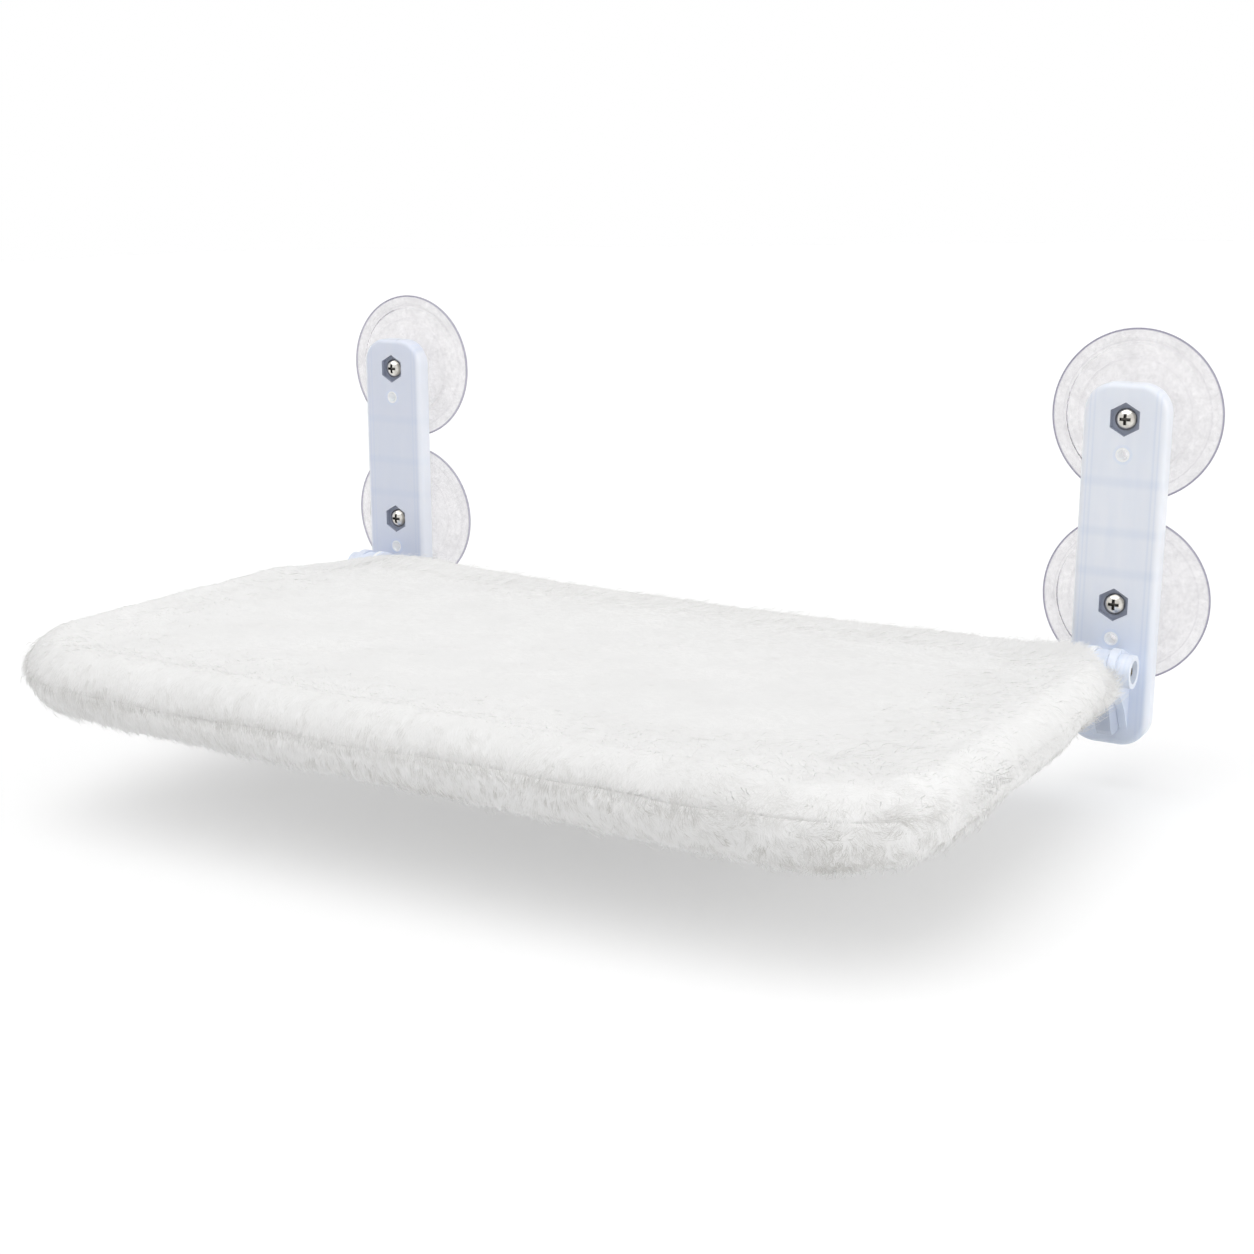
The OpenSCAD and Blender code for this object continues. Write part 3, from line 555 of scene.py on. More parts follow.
def tucked(points):
    """The rear corners pulled in a little towards the hinge arms, the left one also lower."""
    x, y, z = points[..., 0], points[..., 1], points[..., 2]
    shift = (2 + 5 * smooth_step(-z, -0.001, 0.010)) * MM * smooth_step(np.abs(x), 0.215, 0.250)
    shift = shift * smooth_step(y, -0.150, -0.085)
    moved = points.copy()
    moved[..., 0] -= np.sign(x) * shift
    rear = smooth_step(y, -0.125, -0.085) * smooth_step(z, 0, 0.012)
    lift = 2.5 * np.exp(-((x + 0.168) / 0.03) ** 2) - 3.5 * np.exp(-((x + 0.238) / 0.026) ** 2)
    moved[..., 2] += lift * rear * MM
    return moved


def front_sag(points):
    """How far the lower half of the front roll hangs below a round section."""
    x, y, up = points[..., 0], points[..., 1], (points[..., 2] - BED_RISE) / ROLL_R
    along = smooth_step(x, -0.225, -0.15) * (1 - 0.6 * smooth_step(x, 0.17, 0.24))
    return 2.4 * MM * along * smooth_step(-y, 0.268, 0.304) * smooth_step(-up, 0.15, 0.85)


def key_rings(path, side, r, draw, thick):
    """Rings through which one face of a cover half passes, from the seam to the middle of the bed."""
    point, out, share = path[:, :2], path[:, 2:4], path[:, 4]
    seam, right = seam_height(path), path[:, 0]
    tall = share if side < 0 else 1 - 0.4 * (1 - share) * (1 + smooth_step(right, 0, 0.06))

    def rolled(angle, radius):
        reach = radius * np.cos(angle) - ROLL_R * (1 - share)
        return np.column_stack([point + out * reach[:, None], BED_RISE + radius * np.sin(angle) * tall])

    def flat(places, up):
        return np.column_stack([places, np.zeros(len(path)) + BED_RISE + side * (up * ROLL_R - thick)])

    start = np.arcsin(seam / r)
    drawn = draw * (1 + 0.6 * noise(np.column_stack([point, seam]), 0.018, 5)) * (1 - 0.6 * seam_hidden(path))
    rings = [rolled(start, r - drawn), rolled(start + side * np.radians(7), r - 0.35 * drawn)]
    deep = crease_share(path) if side > 0 else np.ones(len(path))
    for t in np.linspace(0, 1, 9):
        ring = rolled((1 - t) * (start + side * np.radians(15)) + t * side * np.radians(LAST_ANGLE), r)
        if t > 0.8:
            plain = BED_RISE + side * (PLAIN_SHOULDER * ROLL_R - thick) * tall
            ring[:, 2] += (1 - deep) * (plain - ring[:, 2])
        rings.append(ring)
    above = side > 0
    turn_in = 4 * MM * smooth_step(right, 0.08, 0.17) * smooth_step(-path[:, 1], 0.262, 0.305) * above
    for (reach, up), share_in in zip(SHOULDERS[side], (0.3, 0.8, 1, 1)):
        inside = reach * ROLL_R - turn_in * share_in
        rings.append(flat(point + out * inside[:, None], up * deep + PLAIN_SHOULDER * (1 - deep)))
    last = rings[-1][:, :2]
    higher = 0.11 * smooth_step(right, 0.06, 0.17) * above
    for shrink, up in INNER[side]:
        rings.append(flat(BED_MID + (last - BED_MID) * shrink, up + higher * shrink**0.7))
    return np.array(rings)


def through(keys, places):
    """A smooth curve through the key rings, read at places given as distances from the first one."""
    steps = np.linalg.norm(np.diff(keys, axis=0), axis=2).mean(1)
    at = np.concatenate([[0], np.cumsum(steps)])
    slope = np.gradient(keys, at, axis=0)
    k = np.clip(np.searchsorted(at, places, side="right") - 1, 0, len(at) - 2)
    h = (at[k + 1] - at[k])
    t = ((places - at[k]) / h)[:, None, None]
    h = h[:, None, None]
    a, b, da, db = keys[k], keys[k + 1], slope[k], slope[k + 1]
    return ((2 * t**3 - 3 * t**2 + 1) * a + (t**3 - 2 * t**2 + t) * h * da
            + (3 * t**2 - 2 * t**3) * b + (t**3 - t**2) * h * db), at[-1]


def ring_places(length, fine, coarse, fine_to):
    """Distances from the seam inwards: fine steps over the roll, coarser ones further in."""
    places = [0.0]
    while places[-1] < length:
        step = fine + (coarse - fine) * smooth_step(places[-1], fine_to, fine_to + 0.04)
        places.append(places[-1] + step)
    places[-1] = length
    return np.array(places)


def grid_normals(grid, side):
    along = np.roll(grid, -1, 1) - np.roll(grid, 1, 1)
    inwards = np.gradient(grid, axis=0)
    normal = unit(np.cross(along, inwards) * side)
    return normal, unit(along), unit(inwards)


class CoverHalf:
    """One half of the plush cover as a grid: rings from the seam to the middle, points round the bed."""

    def __init__(self, side, step):
        self.side = side
        path = outline(step)
        keys = key_rings(path, side, ROLL_R, 1.6 * MM, 0)
        length = through(keys, np.array([0.0]))[1]
        self.places = ring_places(length, step * 0.9, step * 2.2, 0.06)
        self.smooth = tucked(through(keys, self.places)[0])
        if side < 0:
            self.smooth[..., 2] -= front_sag(self.smooth)
        normal, self.along, self.inwards = grid_normals(self.smooth, side)
        flat = self.smooth.reshape(-1, 3)
        lumps = 0.55 * fractal(flat, 0.030, 11 + side)
        lumps += 0.45 * fractal(flat * (1, 1, 1.4), 0.0075, 21 + side)
        seam_fade = smooth_step(self.places, 0, 0.006)[:, None]
        lift = (lumps.reshape(self.smooth.shape[:2]) * 0.9 * MM - 0.5 * MM) * seam_fade
        self.grid = self.smooth + normal * lift[..., None]
        self.normal = grid_normals(self.grid, side)[0]
        self.path = path

    def mesh(self, name, outer, backing):
        """Closed shell: the plush face, and the backing cloth a cover's thickness inside it."""
        rings, around = self.grid.shape[:2]
        keys = key_rings(self.path, self.side, ROLL_R - COVER_T, 0, COVER_T)
        length = through(keys, np.array([0.0]))[1]
        inner = tucked(through(keys, ring_places(length, 5 * MM, 12 * MM, 0.06))[0])
        first = rings * around
        outer_faces = ring_faces(rings, around)
        inner_faces = ring_faces(len(inner), around, first)[:, ::-1]
        j = np.arange(around)
        k = (j + 1) % around
        rim = np.stack([j, first + j, first + k, k], 1)
        faces = np.concatenate([outer_faces, inner_faces, rim]).tolist()
        faces += [(first - around + j).tolist(), (first + (len(inner) - 1) * around + j)[::-1].tolist()]
        if self.side < 0:
            faces = [face[::-1] for face in faces]
        piece = add_mesh(name, np.concatenate([self.grid.reshape(-1, 3), inner.reshape(-1, 3)]), faces, outer)
        piece.data.materials.append(backing)
        inside = np.zeros(len(faces), np.int32)
        inside[len(outer_faces):len(outer_faces) + len(inner_faces)] = 1
        inside[-1] = 1
        piece.data.polygons.foreach_set("material_index", inside)
        return piece


def cut_arm_slots(piece):
    """Opens the rear corners for the hinge arms."""
    gap = 0.5 * MM
    low_y, high_y = REAR_Y - REAR_BEND_R / 2, REAR_Y + ROLL_R + 5 * MM
    bm = bmesh.new()
    for sign in (-1, 1):
        add_box(bm, (ARM_T + 2 * gap, high_y - low_y, ARM_H + 4 * gap),
                (sign * ARM_X, (low_y + high_y) / 2, BED_RISE))
    cutter = add_bmesh("cutter", bm)
    cut = piece.modifiers.new("slots", "BOOLEAN")
    cut.operation, cut.solver, cut.object = "DIFFERENCE", "MANIFOLD", cutter
    apply_modifiers(piece)
    bpy.data.objects.remove(cutter)
    piece.data.shade_smooth()


# Pile: short fibres as curved ribbons, gathered in tufts

def scattered(half, weight, density, rng):
    """Random roots on a cover half, weighted by the way in from the seam, with normals and directions."""
    shares = weight(half.places[:-1])
    rows = np.where(shares > 0)[0]
    grid = half.grid
    a, b = grid[rows], np.roll(grid[rows], -1, 1)
    c = grid[rows + 1]
    area = np.linalg.norm(np.cross(b - a, c - a), axis=2)
    wanted = area * density * shares[rows, None]
    count = np.floor(wanted + rng.random(wanted.shape)).astype(int)
    i, j = np.nonzero(count)
    times = count[i, j]
    i, j = np.repeat(rows[i], times), np.repeat(j, times)
    u, v = rng.random((2, len(i), 1))
    k = (j + 1) % grid.shape[1]

    def read(values):
        return ((1 - u) * (1 - v) * values[i, j] + u * (1 - v) * values[i, k]
                + (1 - u) * v * values[i + 1, j] + u * v * values[i + 1, k])

    at = half.places[i] + v[:, 0] * (half.places[i + 1] - half.places[i])
    return read(grid), unit(read(half.normal)), unit(read(half.inwards)), at


def flow(half, root, normal, inwards, at, rng):
    """Direction in which the fibres lie: over the edge towards the seam above, away from it below."""
    nap = np.array([0.93, -0.36, 0])
    edge = 1 - smooth_step(at, 0.030, 0.062)
    if half.side > 0:
        down = -inwards
    else:
        over_seam = seam_hidden(root) * (1 - smooth_step(at, 0.004, 0.011))
        down = inwards * (1 - 1.7 * over_seam * (0.75 + 0.5 * noise(root, 0.006, 43)))[:, None]
    lie = down * edge[:, None] + nap * (1 - 0.7 * edge)[:, None]
    back = np.column_stack([0.3 * np.sign(root[:, 0]), np.full(len(root), 1.0), np.full(len(root), 0.6)])
    lie += 2 * near_arms(root)[:, None] * back
    lie = unit(lie - normal * np.sum(lie * normal, 1, keepdims=True))
    turn = (0.7 * noise(root, 0.020, 41) + 0.9 * noise(root, 0.0065, 42)
            + 0.35 * rng.standard_normal(len(root)))
    turn *= 0.55 + 0.45 * smooth_step(root[:, 0], 0.02, 0.15) + 0.8 * front_right(root)
    across = np.cross(normal, lie)
    return lie * np.cos(turn)[:, None] + across * np.sin(turn)[:, None]


def front_right(points):
    """1 at the front right corner, where the fur is longest and most ruffled, fading to 0 away from it."""
    return np.exp(-((points[:, 0] - 0.225) ** 2 + (points[:, 1] + 0.295) ** 2) / (2 * 0.06**2))


def seam_hidden(points):
    """How far the fur hides the seam: at the front right corner and along the right side."""
    return smooth_step(points[:, 0], 0.12, 0.21)


def right_side(points):
    """1 along the right side, where the seam is hidden by the fur, fading to 0 at the front corner."""
    return smooth_step(points[:, 0], 0.205, 0.232) * smooth_step(points[:, 1], -0.312, -0.262)


def whorl(points):
    """1 where the fur parts under the front right corner, fading to 0 away from it: where the pile gets
    painted shade.
    """
    x, y = points[:, 0] - 0.219, points[:, 1] + 0.3175
    return np.exp(-(x / 0.026) ** 2 - (y / 0.018) ** 2) * smooth_step(-points[:, 2], 0.001, 0.004)


def near_arms(points):
    """1 at the rear corners, where the fur lies round the hinge arms, fading to 0 away from them."""
    return np.exp(-((np.abs(points[:, 0]) - 0.230) ** 2 + (points[:, 1] + 0.068) ** 2) / (2 * 0.019**2))


def nearest_tuft(root, every, rng):
    tree_of = np.sort(rng.choice(len(root), max(1, len(root) // every), replace=False))
    tree = kdtree.KDTree(len(tree_of))
    for n, index in enumerate(tree_of):
        tree.insert(root[index], n)
    tree.balance()
    return tree_of[[tree.find(p)[1] for p in root]]


def keep_clear(points):
    """Whether every point of each fibre stays off the hinge arms and the ears."""
    x, y, z = np.abs(points[..., 0]), points[..., 1], points[..., 2]
    arm = (np.abs(x - ARM_X) < ARM_T / 2 + 0.3 * MM) & (y > REAR_Y - 0.6 * REAR_BEND_R) & (np.abs(z) < 11 * MM)
    hinge = (x > 212 * MM) & (np.hypot(y + 39 * MM, z) < 11.2 * MM)
    return ~(arm | hinge).any(-1)


def fibre_sizes(half, root, at, length, lift, rng):
    """Length and lift of each fibre: longer and steeper at the corners, shorter on the right side."""
    x, y = root[:, 0], root[:, 1]
    count, above = len(root), half.side > 0
    corner = front_right(root)
    rear_corner = near_arms(root) * np.where(x > 0, 1, 0.1)
    right = smooth_step(x, 0.215, 0.232) * smooth_step(y, -0.25, -0.20) * (1 - smooth_step(y, -0.10, -0.08))
    left = smooth_step(-x, 0.195, 0.225) * smooth_step(root[:, 2], 0.006, 0.012)
    seam = 1 - smooth_step(at, 0.002, 0.009)
    long = length * (1 + 0.25 * noise(root, 0.009, 51) + 0.16 * rng.standard_normal(count))
    rise = lift * (1 + 0.35 * noise(root, 0.012, 52) + 0.2 * rng.standard_normal(count))
    long = np.clip(long, 0.5 * length, 1.6 * length)
    long *= 1 + (0.35 if above else 0.1) * corner + 1.2 * rear_corner
    rise = np.clip(rise, 0.25 * lift, 1.7 * lift) * (1 + 0.4 * corner + 1.5 * rear_corner)
    if above:
        long *= (1 - 0.35 * left) * (1 + (0.3 + 0.3 * noise(root, 0.02, 56)) * seam)
        rise *= (1 - 0.5 * left) * (1 + (0.8 + 0.8 * corner) * seam)
    else:
        long *= 1 - 0.45 * right - 0.35 * smooth_step(-x, 0.20, 0.24)
        long *= 1 + (0.5 * seam_hidden(root) - 0.25) * seam
        rise *= (1 - 0.5 * right) * (1 - 0.4 * seam)
    calm = 1 - 0.65 * smooth_step(at, 0.010, 0.030) * (1 - rear_corner) if above else np.ones(count)
    if above:
        rise = np.maximum(rise * (0.3 + 0.7 * calm), 0.14)
    return long[:, None], rise[:, None], calm


def fibre_tones(half, root, at, tuft, contrast, rng):
    """Tone of each fibre at its four points: random by streaks and tufts, painted shade at the root and
    painted light at the tip, painted shade along the seam, under the front right corner and towards the rear,
    painted light along the right side, and a paler lower half, painted light from below.
    """
    count, above = len(root), half.side > 0
    streaks = noise(root * (0.4, 1.5, 1), 0.013, 57) * 0.6 + noise(root, 0.004, 58) * 0.4
    by_streak, by_tuft, root_shade = (0.5, 0.6, -1.6) if above else (1.1, 0.45, -1.2)
    # The lower half starts a little paler: painted light from below.
    tone = (0.8 if above else 0.83) + contrast * (
        by_streak * streaks + by_tuft * rng.standard_normal(count)[tuft] + 0.3 * rng.standard_normal(count))
    if above:
        # Painted shade over the seam where the upper half turns under, broad and narrow, less where the fur
        # hides the seam; painted light along the right side.
        shaded = 0.28 * np.exp(-(at / (10 * MM)) ** 2) * (1 - 0.8 * right_side(root)) - 0.08 * right_side(root)
        shaded += 0.24 * np.exp(-at / (3 * MM)) * (1 - 0.6 * seam_hidden(root))
        # Painted shade: the top darker towards the rear edge.
        tone -= 0.14 * smooth_step(root[:, 1], -0.18, -0.07)
    else:
        # Painted shade under the seam, less where the fur hides it, and where the fur parts under the front
        # right corner.
        shaded = 0.36 * np.exp(-at / (4 * MM)) * (1 - 0.6 * seam_hidden(root)) + 0.55 * whorl(root)
    # The painted shade, mottled a little.
    tone -= shaded * (1 + 0.5 * noise(root, 0.012, 59))
    # Painted shade towards each root and painted light towards each tip.
    return tone[:, None] + contrast[:, None] * np.array([root_shade, 0, 0, 0.7])


def ribbons(name, points, tones, shade):
    """Fibres of two triangles each, with their tones, normals and own cells of the UV map."""
    count = len(points)
    loops = (np.arange(count)[:, None] * 4 + [0, 1, 2, 3, 2, 1]).ravel()
    mesh = bpy.data.meshes.new(name)
    mesh.vertices.add(count * 4)
    mesh.vertices.foreach_set("co", points.astype(np.float32).ravel())
    mesh.loops.add(count * 6)
    mesh.loops.foreach_set("vertex_index", loops.astype(np.int32))
    mesh.polygons.add(count * 2)
    mesh.polygons.foreach_set("loop_start", np.arange(0, count * 6, 3, dtype=np.int32))
    mesh.update(calc_edges=True)
    mesh.shade_smooth()
    mesh.normals_split_custom_set_from_vertices(np.repeat(shade, 4, axis=0))
    tone = mesh.attributes.new("tone", "FLOAT", "POINT")
    tone.data.foreach_set("value", np.clip(tones, 0, 1).astype(np.float32).ravel())
    across = math.ceil(math.sqrt(count))
    cell = np.stack([np.arange(count) % across, np.arange(count) // across], 1)[:, None]
    corner_uv = (cell + np.array([(0.5, 0.1), (0.1, 0.5), (0.9, 0.5), (0.5, 0.9)])) / across
    layer = mesh.uv_layers.new(name="OFBake")
    layer.uv.foreach_set("vector", corner_uv.reshape(-1, 2)[loops].astype(np.float32).ravel())
    mesh.materials.append(pile)
    piece = add_object(name, mesh)
    piece.visible_shadow = False
    piece.visible_diffuse = False
    return piece


def add_pile(name, half, weight, density, length, width, lift, spread, tuft_of, pull_by, contrast,
             seed, sign=0):
    """Fibres on one cover half. With a sign, only those on that side of the middle."""
    rng = np.random.default_rng(seed)
    found = scattered(half, weight, density * thin * PER_M2, rng)
    if sign:
        found = [values[found[0][:, 0] * sign > 0] for values in found]
    root, normal, inwards, at = found
    count, above = len(root), half.side > 0
    lie = flow(half, root, normal, inwards, at, rng)
    long, rise, calm = fibre_sizes(half, root, at, length, lift, rng)
    base = root - normal * 0.2 * MM
    middle = base + long * 0.5 * (lie * np.cos(rise * 1.25) + normal * np.sin(rise * 1.25))
    tip = middle + long * 0.5 * (lie * np.cos(rise * 0.25) + normal * np.sin(rise * 0.25))
    tuft = nearest_tuft(root, tuft_of, rng)
    pull = np.clip(pull_by * (1 + 0.45 * rng.standard_normal((count, 1))), 0, 0.85)
    middle += (middle[tuft] - middle) * pull * 0.45
    tip += (tip[tuft] - tip) * pull
    axis = unit(tip - base)
    wide = unit(np.cross(axis, normal))
    roll = rng.uniform(-spread, spread, (count, 1))
    wide = wide * np.cos(roll) + np.cross(axis, wide) * np.sin(roll)
    face = np.cross(wide, axis)
    turned = np.sign(np.sum(face * normal, 1, keepdims=True))
    wide, face = wide * turned, face * turned
    half_w = width / 2 * rng.uniform(0.7, 1.3, (count, 1))
    points = np.stack([base, middle + wide * half_w, middle - wide * half_w, tip], 1)
    folds_up = (np.abs(points[..., 0]) > 203 * MM) & (points[..., 1] > -200 * MM)
    limit = (18.1 - 1.2 * rng.random((count, 1))) * MM
    points[..., 2] = np.where(folds_up, np.minimum(points[..., 2], limit), points[..., 2])
    if above:
        contrast = contrast * calm * (0.45 + 0.55 * smooth_step(-root[:, 1], 0.255, 0.295))
    else:
        contrast = contrast * (0.5 + 0.7 * smooth_step(root[:, 0], -0.17, 0.05))
    tones = fibre_tones(half, root, at, tuft, contrast, rng)
    clear = keep_clear(points)
    by_face = 0.2 if above else 0.35
    shade = unit(normal * (1 - by_face) + face * by_face)
    return ribbons(name, points[clear], tones[clear], shade[clear])


plush = plush_material()
pile = pile_material()
backing = backing_material()
grid_step = 1.9 * MM
thin = 1.0
PER_M2 = 1e6
upper, lower = CoverHalf(1, grid_step), CoverHalf(-1, grid_step)
top = upper.mesh("plush_cover_top", plush, backing)
under = lower.mesh("plush_cover_bottom", plush, backing)
for piece in (top, under):
    cut_arm_slots(piece)


def middle_weight(at):
    return smooth_step(at, 0.040, 0.080)


def edge_weight(at):
    return 1 - middle_weight(at)


# Density in fibres per square millimetre, length, width, lift, spread, fibres to a tuft, pull
# towards the tuft, contrast and seed
piles = [
    add_pile("pile_top", upper, middle_weight, 1.1, 5.5 * MM, 0.26 * MM, 0.15, 0.4, 24, 0.3, 0.10, 61),
    add_pile("pile_under", lower, middle_weight, 0.5, 6.6 * MM, 0.34 * MM, 0.2, 0.6, 24, 0.4, 0.14, 64),
]
for sign, end in ((-1, "left"), (1, "right")):
    piles.append(add_pile("pile_edge_high_" + end, upper, edge_weight, 1.7, 5.5 * MM, 0.22 * MM,
                          0.28, 0.6, 20, 0.35, 0.20, 65 + sign, sign))
    piles.append(add_pile("pile_edge_low_" + end, lower, edge_weight, 1.7, 5.6 * MM, 0.24 * MM,
                          0.36, 0.8, 10, 0.65, 0.5, 75 + sign, sign))
for end, half in (("high", upper), ("low", lower)):
    piles.append(add_pile("pile_guard_" + end, half, edge_weight, 0.16, 7.2 * MM, 0.15 * MM,
                          0.62, 1.2, 5, 0.25, 0.15, 85))


# Foam round the front tube, slit lengthways so that it goes on and lets the sling out

def front_path(step):
    """Centre line of the front tube inside its foam, from the left end to the right one."""
    rows = outline(step)
    inside = rows[:, 1] < FOAM_START_Y
    right_end = np.argmin(inside)
    left_part = rows[right_end:][inside[right_end:]]
    left, right = ([sign * PATH_X, FOAM_START_Y, sign, 0, 1] for sign in (-1, 1))
    return np.concatenate([[left], left_part, rows[:right_end], [right]])


def foam_section(turns):
    high, low = HEM_R - SLING_T - 0.3 * MM, HEM_R + 0.3 * MM
    outer_from = math.pi + math.asin(high / FOAM_R)
    outer_to = math.pi + math.asin(low / FOAM_R) - 2 * math.pi
    bore_from = -math.pi / 2
    bore_to = math.pi + math.asin(high / FOAM_BORE_R)
    outer = np.linspace(outer_from, outer_to, turns)
    bore = np.linspace(bore_from, bore_to, turns)
    return np.concatenate([
        FOAM_R * np.stack([np.cos(outer), np.sin(outer)], 1),
        FOAM_BORE_R * np.stack([np.cos(bore), np.sin(bore)], 1)])


def add_foam():
    path, section = front_path(5 * MM), foam_section(30)
    reach, up = section[:, 0], section[:, 1]
    grid = np.concatenate([
        path[:, None, :2] + path[:, None, 2:4] * reach[None, :, None],
        np.broadcast_to(BED_RISE + up[None, :, None], (len(path), len(section), 1))], 2)
    material = foam_material("edge_foam", (0.62, 0.61, 0.58), (0.86, 0.85, 0.81))
    return add_sweep("edge_foam_roll", grid, material)


# Pad: crowned foam, fuller in its middle and pulled in along its sides

def add_pad():
    low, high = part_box("sleep_pad")
    mid, half = (low + high) / 2, (high - low) / 2
    columns, rows = 96, 56
    u, v = np.meshgrid(np.linspace(-1, 1, columns), np.linspace(-1, 1, rows))
    fall = (1 - np.abs(u) ** 14) * (1 - np.abs(v) ** 8)
    waist = 1 - 0.012 * (np.cos(u * math.pi / 2) * np.abs(v) + np.cos(v * math.pi / 2) * np.abs(u))
    corner = np.hypot(np.clip(np.abs(u) - 0.86, 0, 1) / 0.14, np.clip(np.abs(v) - 0.72, 0, 1) / 0.28)
    squeeze = 1 - 0.045 * np.clip(corner, 0, 1) ** 4 * np.abs(u * v) ** 6
    x, y = mid.x + half.x * u * waist * squeeze, mid.y + half.y * v * waist * squeeze
    spots = np.stack([x, y, np.zeros_like(x)], 2).reshape(-1, 3)
    bumps = (fractal(spots, 0.03, 71) * 0.3 * MM).reshape(x.shape)
    thick = half.z * fall ** 0.25
    top_z = np.minimum(mid.z + thick * (0.93 + 0.05 * fall) + bumps * fall, high.z)
    low_z = np.maximum(mid.z - thick * 0.98, low.z)
    edge = np.ones(x.shape, bool)
    edge[1:-1, 1:-1] = False
    top_z[edge] = low_z[edge] = mid.z
    points, faces, _ = two_sides(x, y, top_z, low_z)
    material = foam_material("pad_foam", (0.66, 0.63, 0.52), (0.90, 0.87, 0.76))
    piece = add_mesh("sleep_pad_foam", points, faces.tolist(), material)
    bm = bmesh.new()
    bm.from_mesh(piece.data)
    bmesh.ops.remove_doubles(bm, verts=bm.verts, dist=1e-6)
    bm.to_mesh(piece.data)
    bm.free()
    piece.data.shade_smooth()
    return piece


# Sling: one woven panel, hemmed round both tubes, with two rows of stitches on each hem

def add_sling():
    def loop(y, start, end, r):
        angles = np.radians(np.linspace(start, end, 26))
        return np.stack([y + r * np.cos(angles), BED_RISE + r * np.sin(angles)], 1)

    outer, inner = HEM_R, HEM_R - SLING_T
    line = np.linspace(0, 1, 40)[1:-1, None]
    rear_out, front_out = loop(REAR_Y, -90, 238, outer), loop(FRONT_Y, -58, 270, outer)
    rear_in, front_in = loop(REAR_Y, 238, -90, inner), loop(FRONT_Y, 270, -58, inner)
    low = front_out[-1] + (rear_out[0] - front_out[-1]) * line
    high = rear_in[-1] + (front_in[0] - rear_in[-1]) * line
    section = np.concatenate([front_out, low, rear_out, rear_in, high, front_in])
    across = np.linspace(-SLING_X, SLING_X, 90)
    grid = np.empty((len(across), len(section), 3))
    grid[..., 0] = across[:, None]
    grid[..., 1:] = section[None]
    material = weave_material("sling_cloth", (0.22, 0.22, 0.23), (0.42, 0.42, 0.44), 1.6 * MM, 0.0002)
    return add_sweep("support_sling_cloth", grid, material)


def add_stitches(name, rows, pitch, length, radius, material):
    """Rows of thread, each stitch a short hump that dips into the cloth at both ends."""
    points, faces = [], []
    for start, end, normal in rows:
        start, end, normal = Vector(start), Vector(end), Vector(normal)
        along = (end - start).normalized()
        side = along.cross(normal)
        for k in range(int((end - start).length / pitch)):
            origin = start + along * (k + 0.5) * pitch
            centres = [origin + along * t * length + normal * (radius * (1.3 - 7 * t * t))
                       for t in (-0.5, -0.25, 0, 0.25, 0.5)]
            add_bead(points, faces, centres, [radius] * 5, side, normal, flip=True, turns=5)
    return add_mesh(name, points, faces, material)


# Zip: woven tape, the closed coil as crossing teeth, and two stops

def add_zip():
    z = ZIP_TOP_Z - TAPE_T
    across, along = 25, 240
    u, v = np.meshgrid(np.linspace(-0.5, 0.5, along), np.linspace(-0.5, 0.5, across))
    x, y = u * ZIP_L, ZIP_Y + v * TAPE_W
    low = z - 0.12 * MM * np.cos(v * 2 * math.pi * 12) ** 2 * (np.abs(v) < 0.49)
    points, faces, index = two_sides(x, y, np.full_like(x, ZIP_TOP_Z), low)
    border = np.concatenate([index[0], index[1:, -1], index[-1, -2::-1], index[-2:0:-1, 0]])
    shifted = np.roll(border, -1)
    rim = np.stack([border, border + x.size, shifted + x.size, shifted], 1)
    material = weave_material("tape_cloth", (0.72, 0.71, 0.69), (0.90, 0.895, 0.88), 0.9 * MM, 0.0001)
    tape = add_mesh("zip_tape_cloth", points, np.concatenate([faces, rim]).tolist(), material)
    points, faces = [], []
    pitch = 1.5 * MM
    ends = np.linspace(0, 1, 9)
    for k in range(int(COIL_L / pitch)):
        x = -COIL_L / 2 + (k + 0.5) * pitch
        for sign in (-1, 1):
            centres = [Vector((x + sign * (pitch / 4 + 0.12 * MM * math.cos(math.pi * t)),
                               ZIP_Y + sign * (COIL_W / 2 - 0.35 * MM - t * 3.1 * MM),
                               z - COIL_H / 2 - 0.45 * MM * math.sin(math.pi * t))) for t in ends]
            radii = [0.34 * MM * (0.85 + 0.3 * math.sin(math.pi * t)) for t in ends]
            add_bead(points, faces, centres, radii, Vector((1, 0, 0)), Vector((0, 0, 1)), flip=sign < 0)
    coil_material = foam_material("zip_coil", (0.74, 0.74, 0.73), (0.88, 0.88, 0.87))
    coil = add_mesh("zip_coil", points, faces, coil_material)
    stops = []
    for sign in (-1, 1):
        bm = bmesh.new()
        add_box(bm, (2 * MM, COIL_W + 1.6 * MM, COIL_H + 1.4 * MM),
                (sign * (COIL_L / 2 + 1 * MM), ZIP_Y, z - (COIL_H + 0.6 * MM) / 2))
        bmesh.ops.bevel(bm, geom=bm.edges[:], offset=0.4 * MM, segments=3, affect="EDGES")
        stops.append(add_bmesh("zip_stop_" + ("left" if sign < 0 else "right"), bm))
        stops[-1].data.shade_smooth()
    return tape, coil, stops


foam = add_foam()
pad = add_pad()
sling = add_sling()
thread = weave_material("thread", (0.70, 0.70, 0.69), (0.88, 0.88, 0.87), 0.6 * MM, 0.00005)
tape, coil, stops = add_zip()


def rows_below(half_l, places, z):
    """Rows of stitches along X at these places on a lower face."""
    return [((-half_l, y, z), (half_l, y, z), (0, 0, -1)) for y in places]


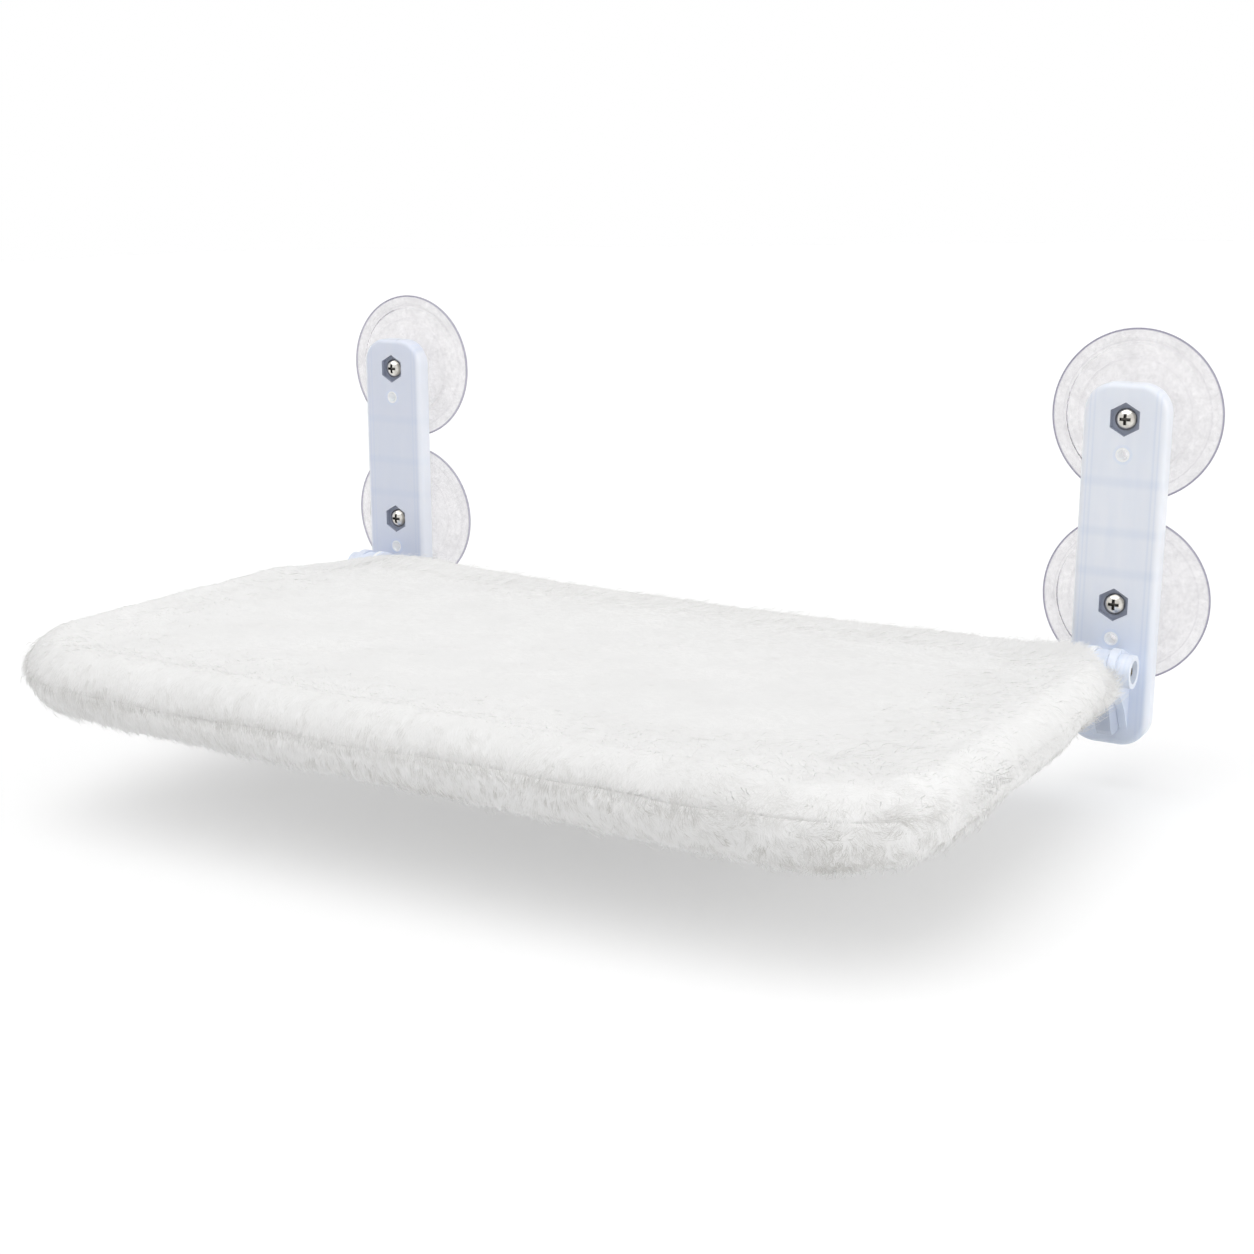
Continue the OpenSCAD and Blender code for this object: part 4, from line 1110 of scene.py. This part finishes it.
hem_rows = rows_below(SLING_X, (REAR_Y - 5 * MM, REAR_Y - 3 * MM, FRONT_Y + 3 * MM, FRONT_Y + 5 * MM),
                      BED_RISE - HEM_R)
tape_rows = rows_below(ZIP_L / 2, (ZIP_Y - 11.5 * MM, ZIP_Y + 11.5 * MM), ZIP_TOP_Z - TAPE_T)
hem_stitches = add_stitches("sling_stitches", hem_rows, 3.4 * MM, 2.6 * MM, 0.12 * MM, thread)
tape_stitches = add_stitches("zip_stitches", tape_rows, 2.8 * MM, 2.2 * MM, 0.16 * MM, thread)


# Materials of the pieces that stay as they were constructed

zip_metal = metal_material("zip_metal", (0.60, 0.60, 0.61), (0.76, 0.76, 0.77), 0.24)
for material, names in (
    (bracket_material(), ("bracket_left", "bracket_right")),
    (arm_material(), ("hinge_arm_left", "hinge_arm_right")),
    (vinyl_material(), ("cup_upper_left", "cup_lower_left", "cup_upper_right", "cup_lower_right")),
    (screw_material(), ("cup_screws", "pivot_bolts", "pivot_nuts", "tube_screws")),
    (metal_material("brass", (0.70, 0.52, 0.24), (0.84, 0.66, 0.34), 0.28), ("cup_inserts",)),
    (steel_tube_material(), ("front_tube", "rear_tube")),
    (zip_metal, ("zip_slider", "zip_pull")),
):
    for name in names:
        NODES[name].data.materials.clear()
        NODES[name].data.materials.append(material)
for stop in stops:
    stop.data.materials.append(zip_metal)


# Which body each piece rides on; the constructed parts that the new pieces replace are hidden

for piece in (top, under, foam, pad, sling, tape, coil, hem_stitches, tape_stitches, *stops, *piles):
    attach(piece, "bed")
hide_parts("cover_top")
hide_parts("cover_bottom")
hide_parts("edge_foam")
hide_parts("sleep_pad")
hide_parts("support_sling")
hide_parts("zip_tape")


# Studio: white floor that keeps the shadow, white surroundings, soft light from far away

def sun(name, direction, spread, strength, shadow=True):
    data = bpy.data.lights.new(name, "SUN")
    data.angle, data.energy, data.use_shadow = math.radians(spread), strength, shadow
    light = add_object(name, data)
    light.rotation_euler = Vector(direction).to_track_quat("-Z", "Y").to_euler()


def seen_directly(tree):
    """1 for what the camera sees straight on, by reflection or through the vinyl."""
    path = tree.nodes.new("ShaderNodeLightPath")
    seen = maths(tree, "ADD", path.outputs["Is Camera Ray"], path.outputs["Is Transmission Ray"])
    seen = maths(tree, "ADD", seen, maths(tree, "MULTIPLY", path.outputs["Is Glossy Ray"], 0.9))
    return maths(tree, "MINIMUM", seen, 1.0)


# The surroundings light the bed a little more from its right and from behind
AMBIENT = 0.52
world = bpy.data.worlds.new("surroundings")
bpy.context.scene.world = world
world.use_nodes = True
sky = world.node_tree
sky.nodes["Background"].inputs["Color"].default_value = (1, 1, 1, 1)
way = sky.nodes.new("ShaderNodeSeparateXYZ")
sky.links.new(sky.nodes.new("ShaderNodeTexCoord").outputs["Generated"], way.inputs[0])
tilt = maths(sky, "ADD", maths(sky, "ADD", 1.0, maths(sky, "MULTIPLY", way.outputs["X"], 0.5)),
             maths(sky, "MULTIPLY", way.outputs["Y"], 0.55))
around = maths(sky, "MULTIPLY", tilt, AMBIENT)
strength = maths(sky, "MAXIMUM", seen_directly(sky), around)
sky.links.new(strength, sky.nodes["Background"].inputs["Strength"])

floor_material = bpy.data.materials.new("floor")
floor_material.use_nodes = True
floor_tree = floor_material.node_tree
floor_shader = floor_tree.nodes["Principled BSDF"]
floor_shader.inputs["Roughness"].default_value = 1.0
floor_shader.inputs["Specular IOR Level"].default_value = 0.0
floor_shader.inputs["Emission Color"].default_value = (1, 1, 1, 1)
seen = seen_directly(floor_tree)
floor_tree.links.new(maths(floor_tree, "MULTIPLY", seen, 0.33), floor_shader.inputs["Emission Strength"])
floor_tree.links.new(maths(floor_tree, "SUBTRACT", 0.88, maths(floor_tree, "MULTIPLY", seen, 0.18)),
                     floor_shader.inputs["Base Color"])
corners = [(x, y, FLOOR_Z + FLOOR_TILT * x) for x, y in ((-9, -9), (9, -9), (9, 9), (-9, 9))]
floor = add_mesh("floor", corners, [(0, 1, 2, 3)], floor_material, smooth=False)

sun("key", (0.2, 0.44, -1), 72, 1.62)
sun("side", (-1, 0.1, -0.3), 40, 0.56, shadow=False)
bpy.context.scene.view_settings.view_transform = "Standard"
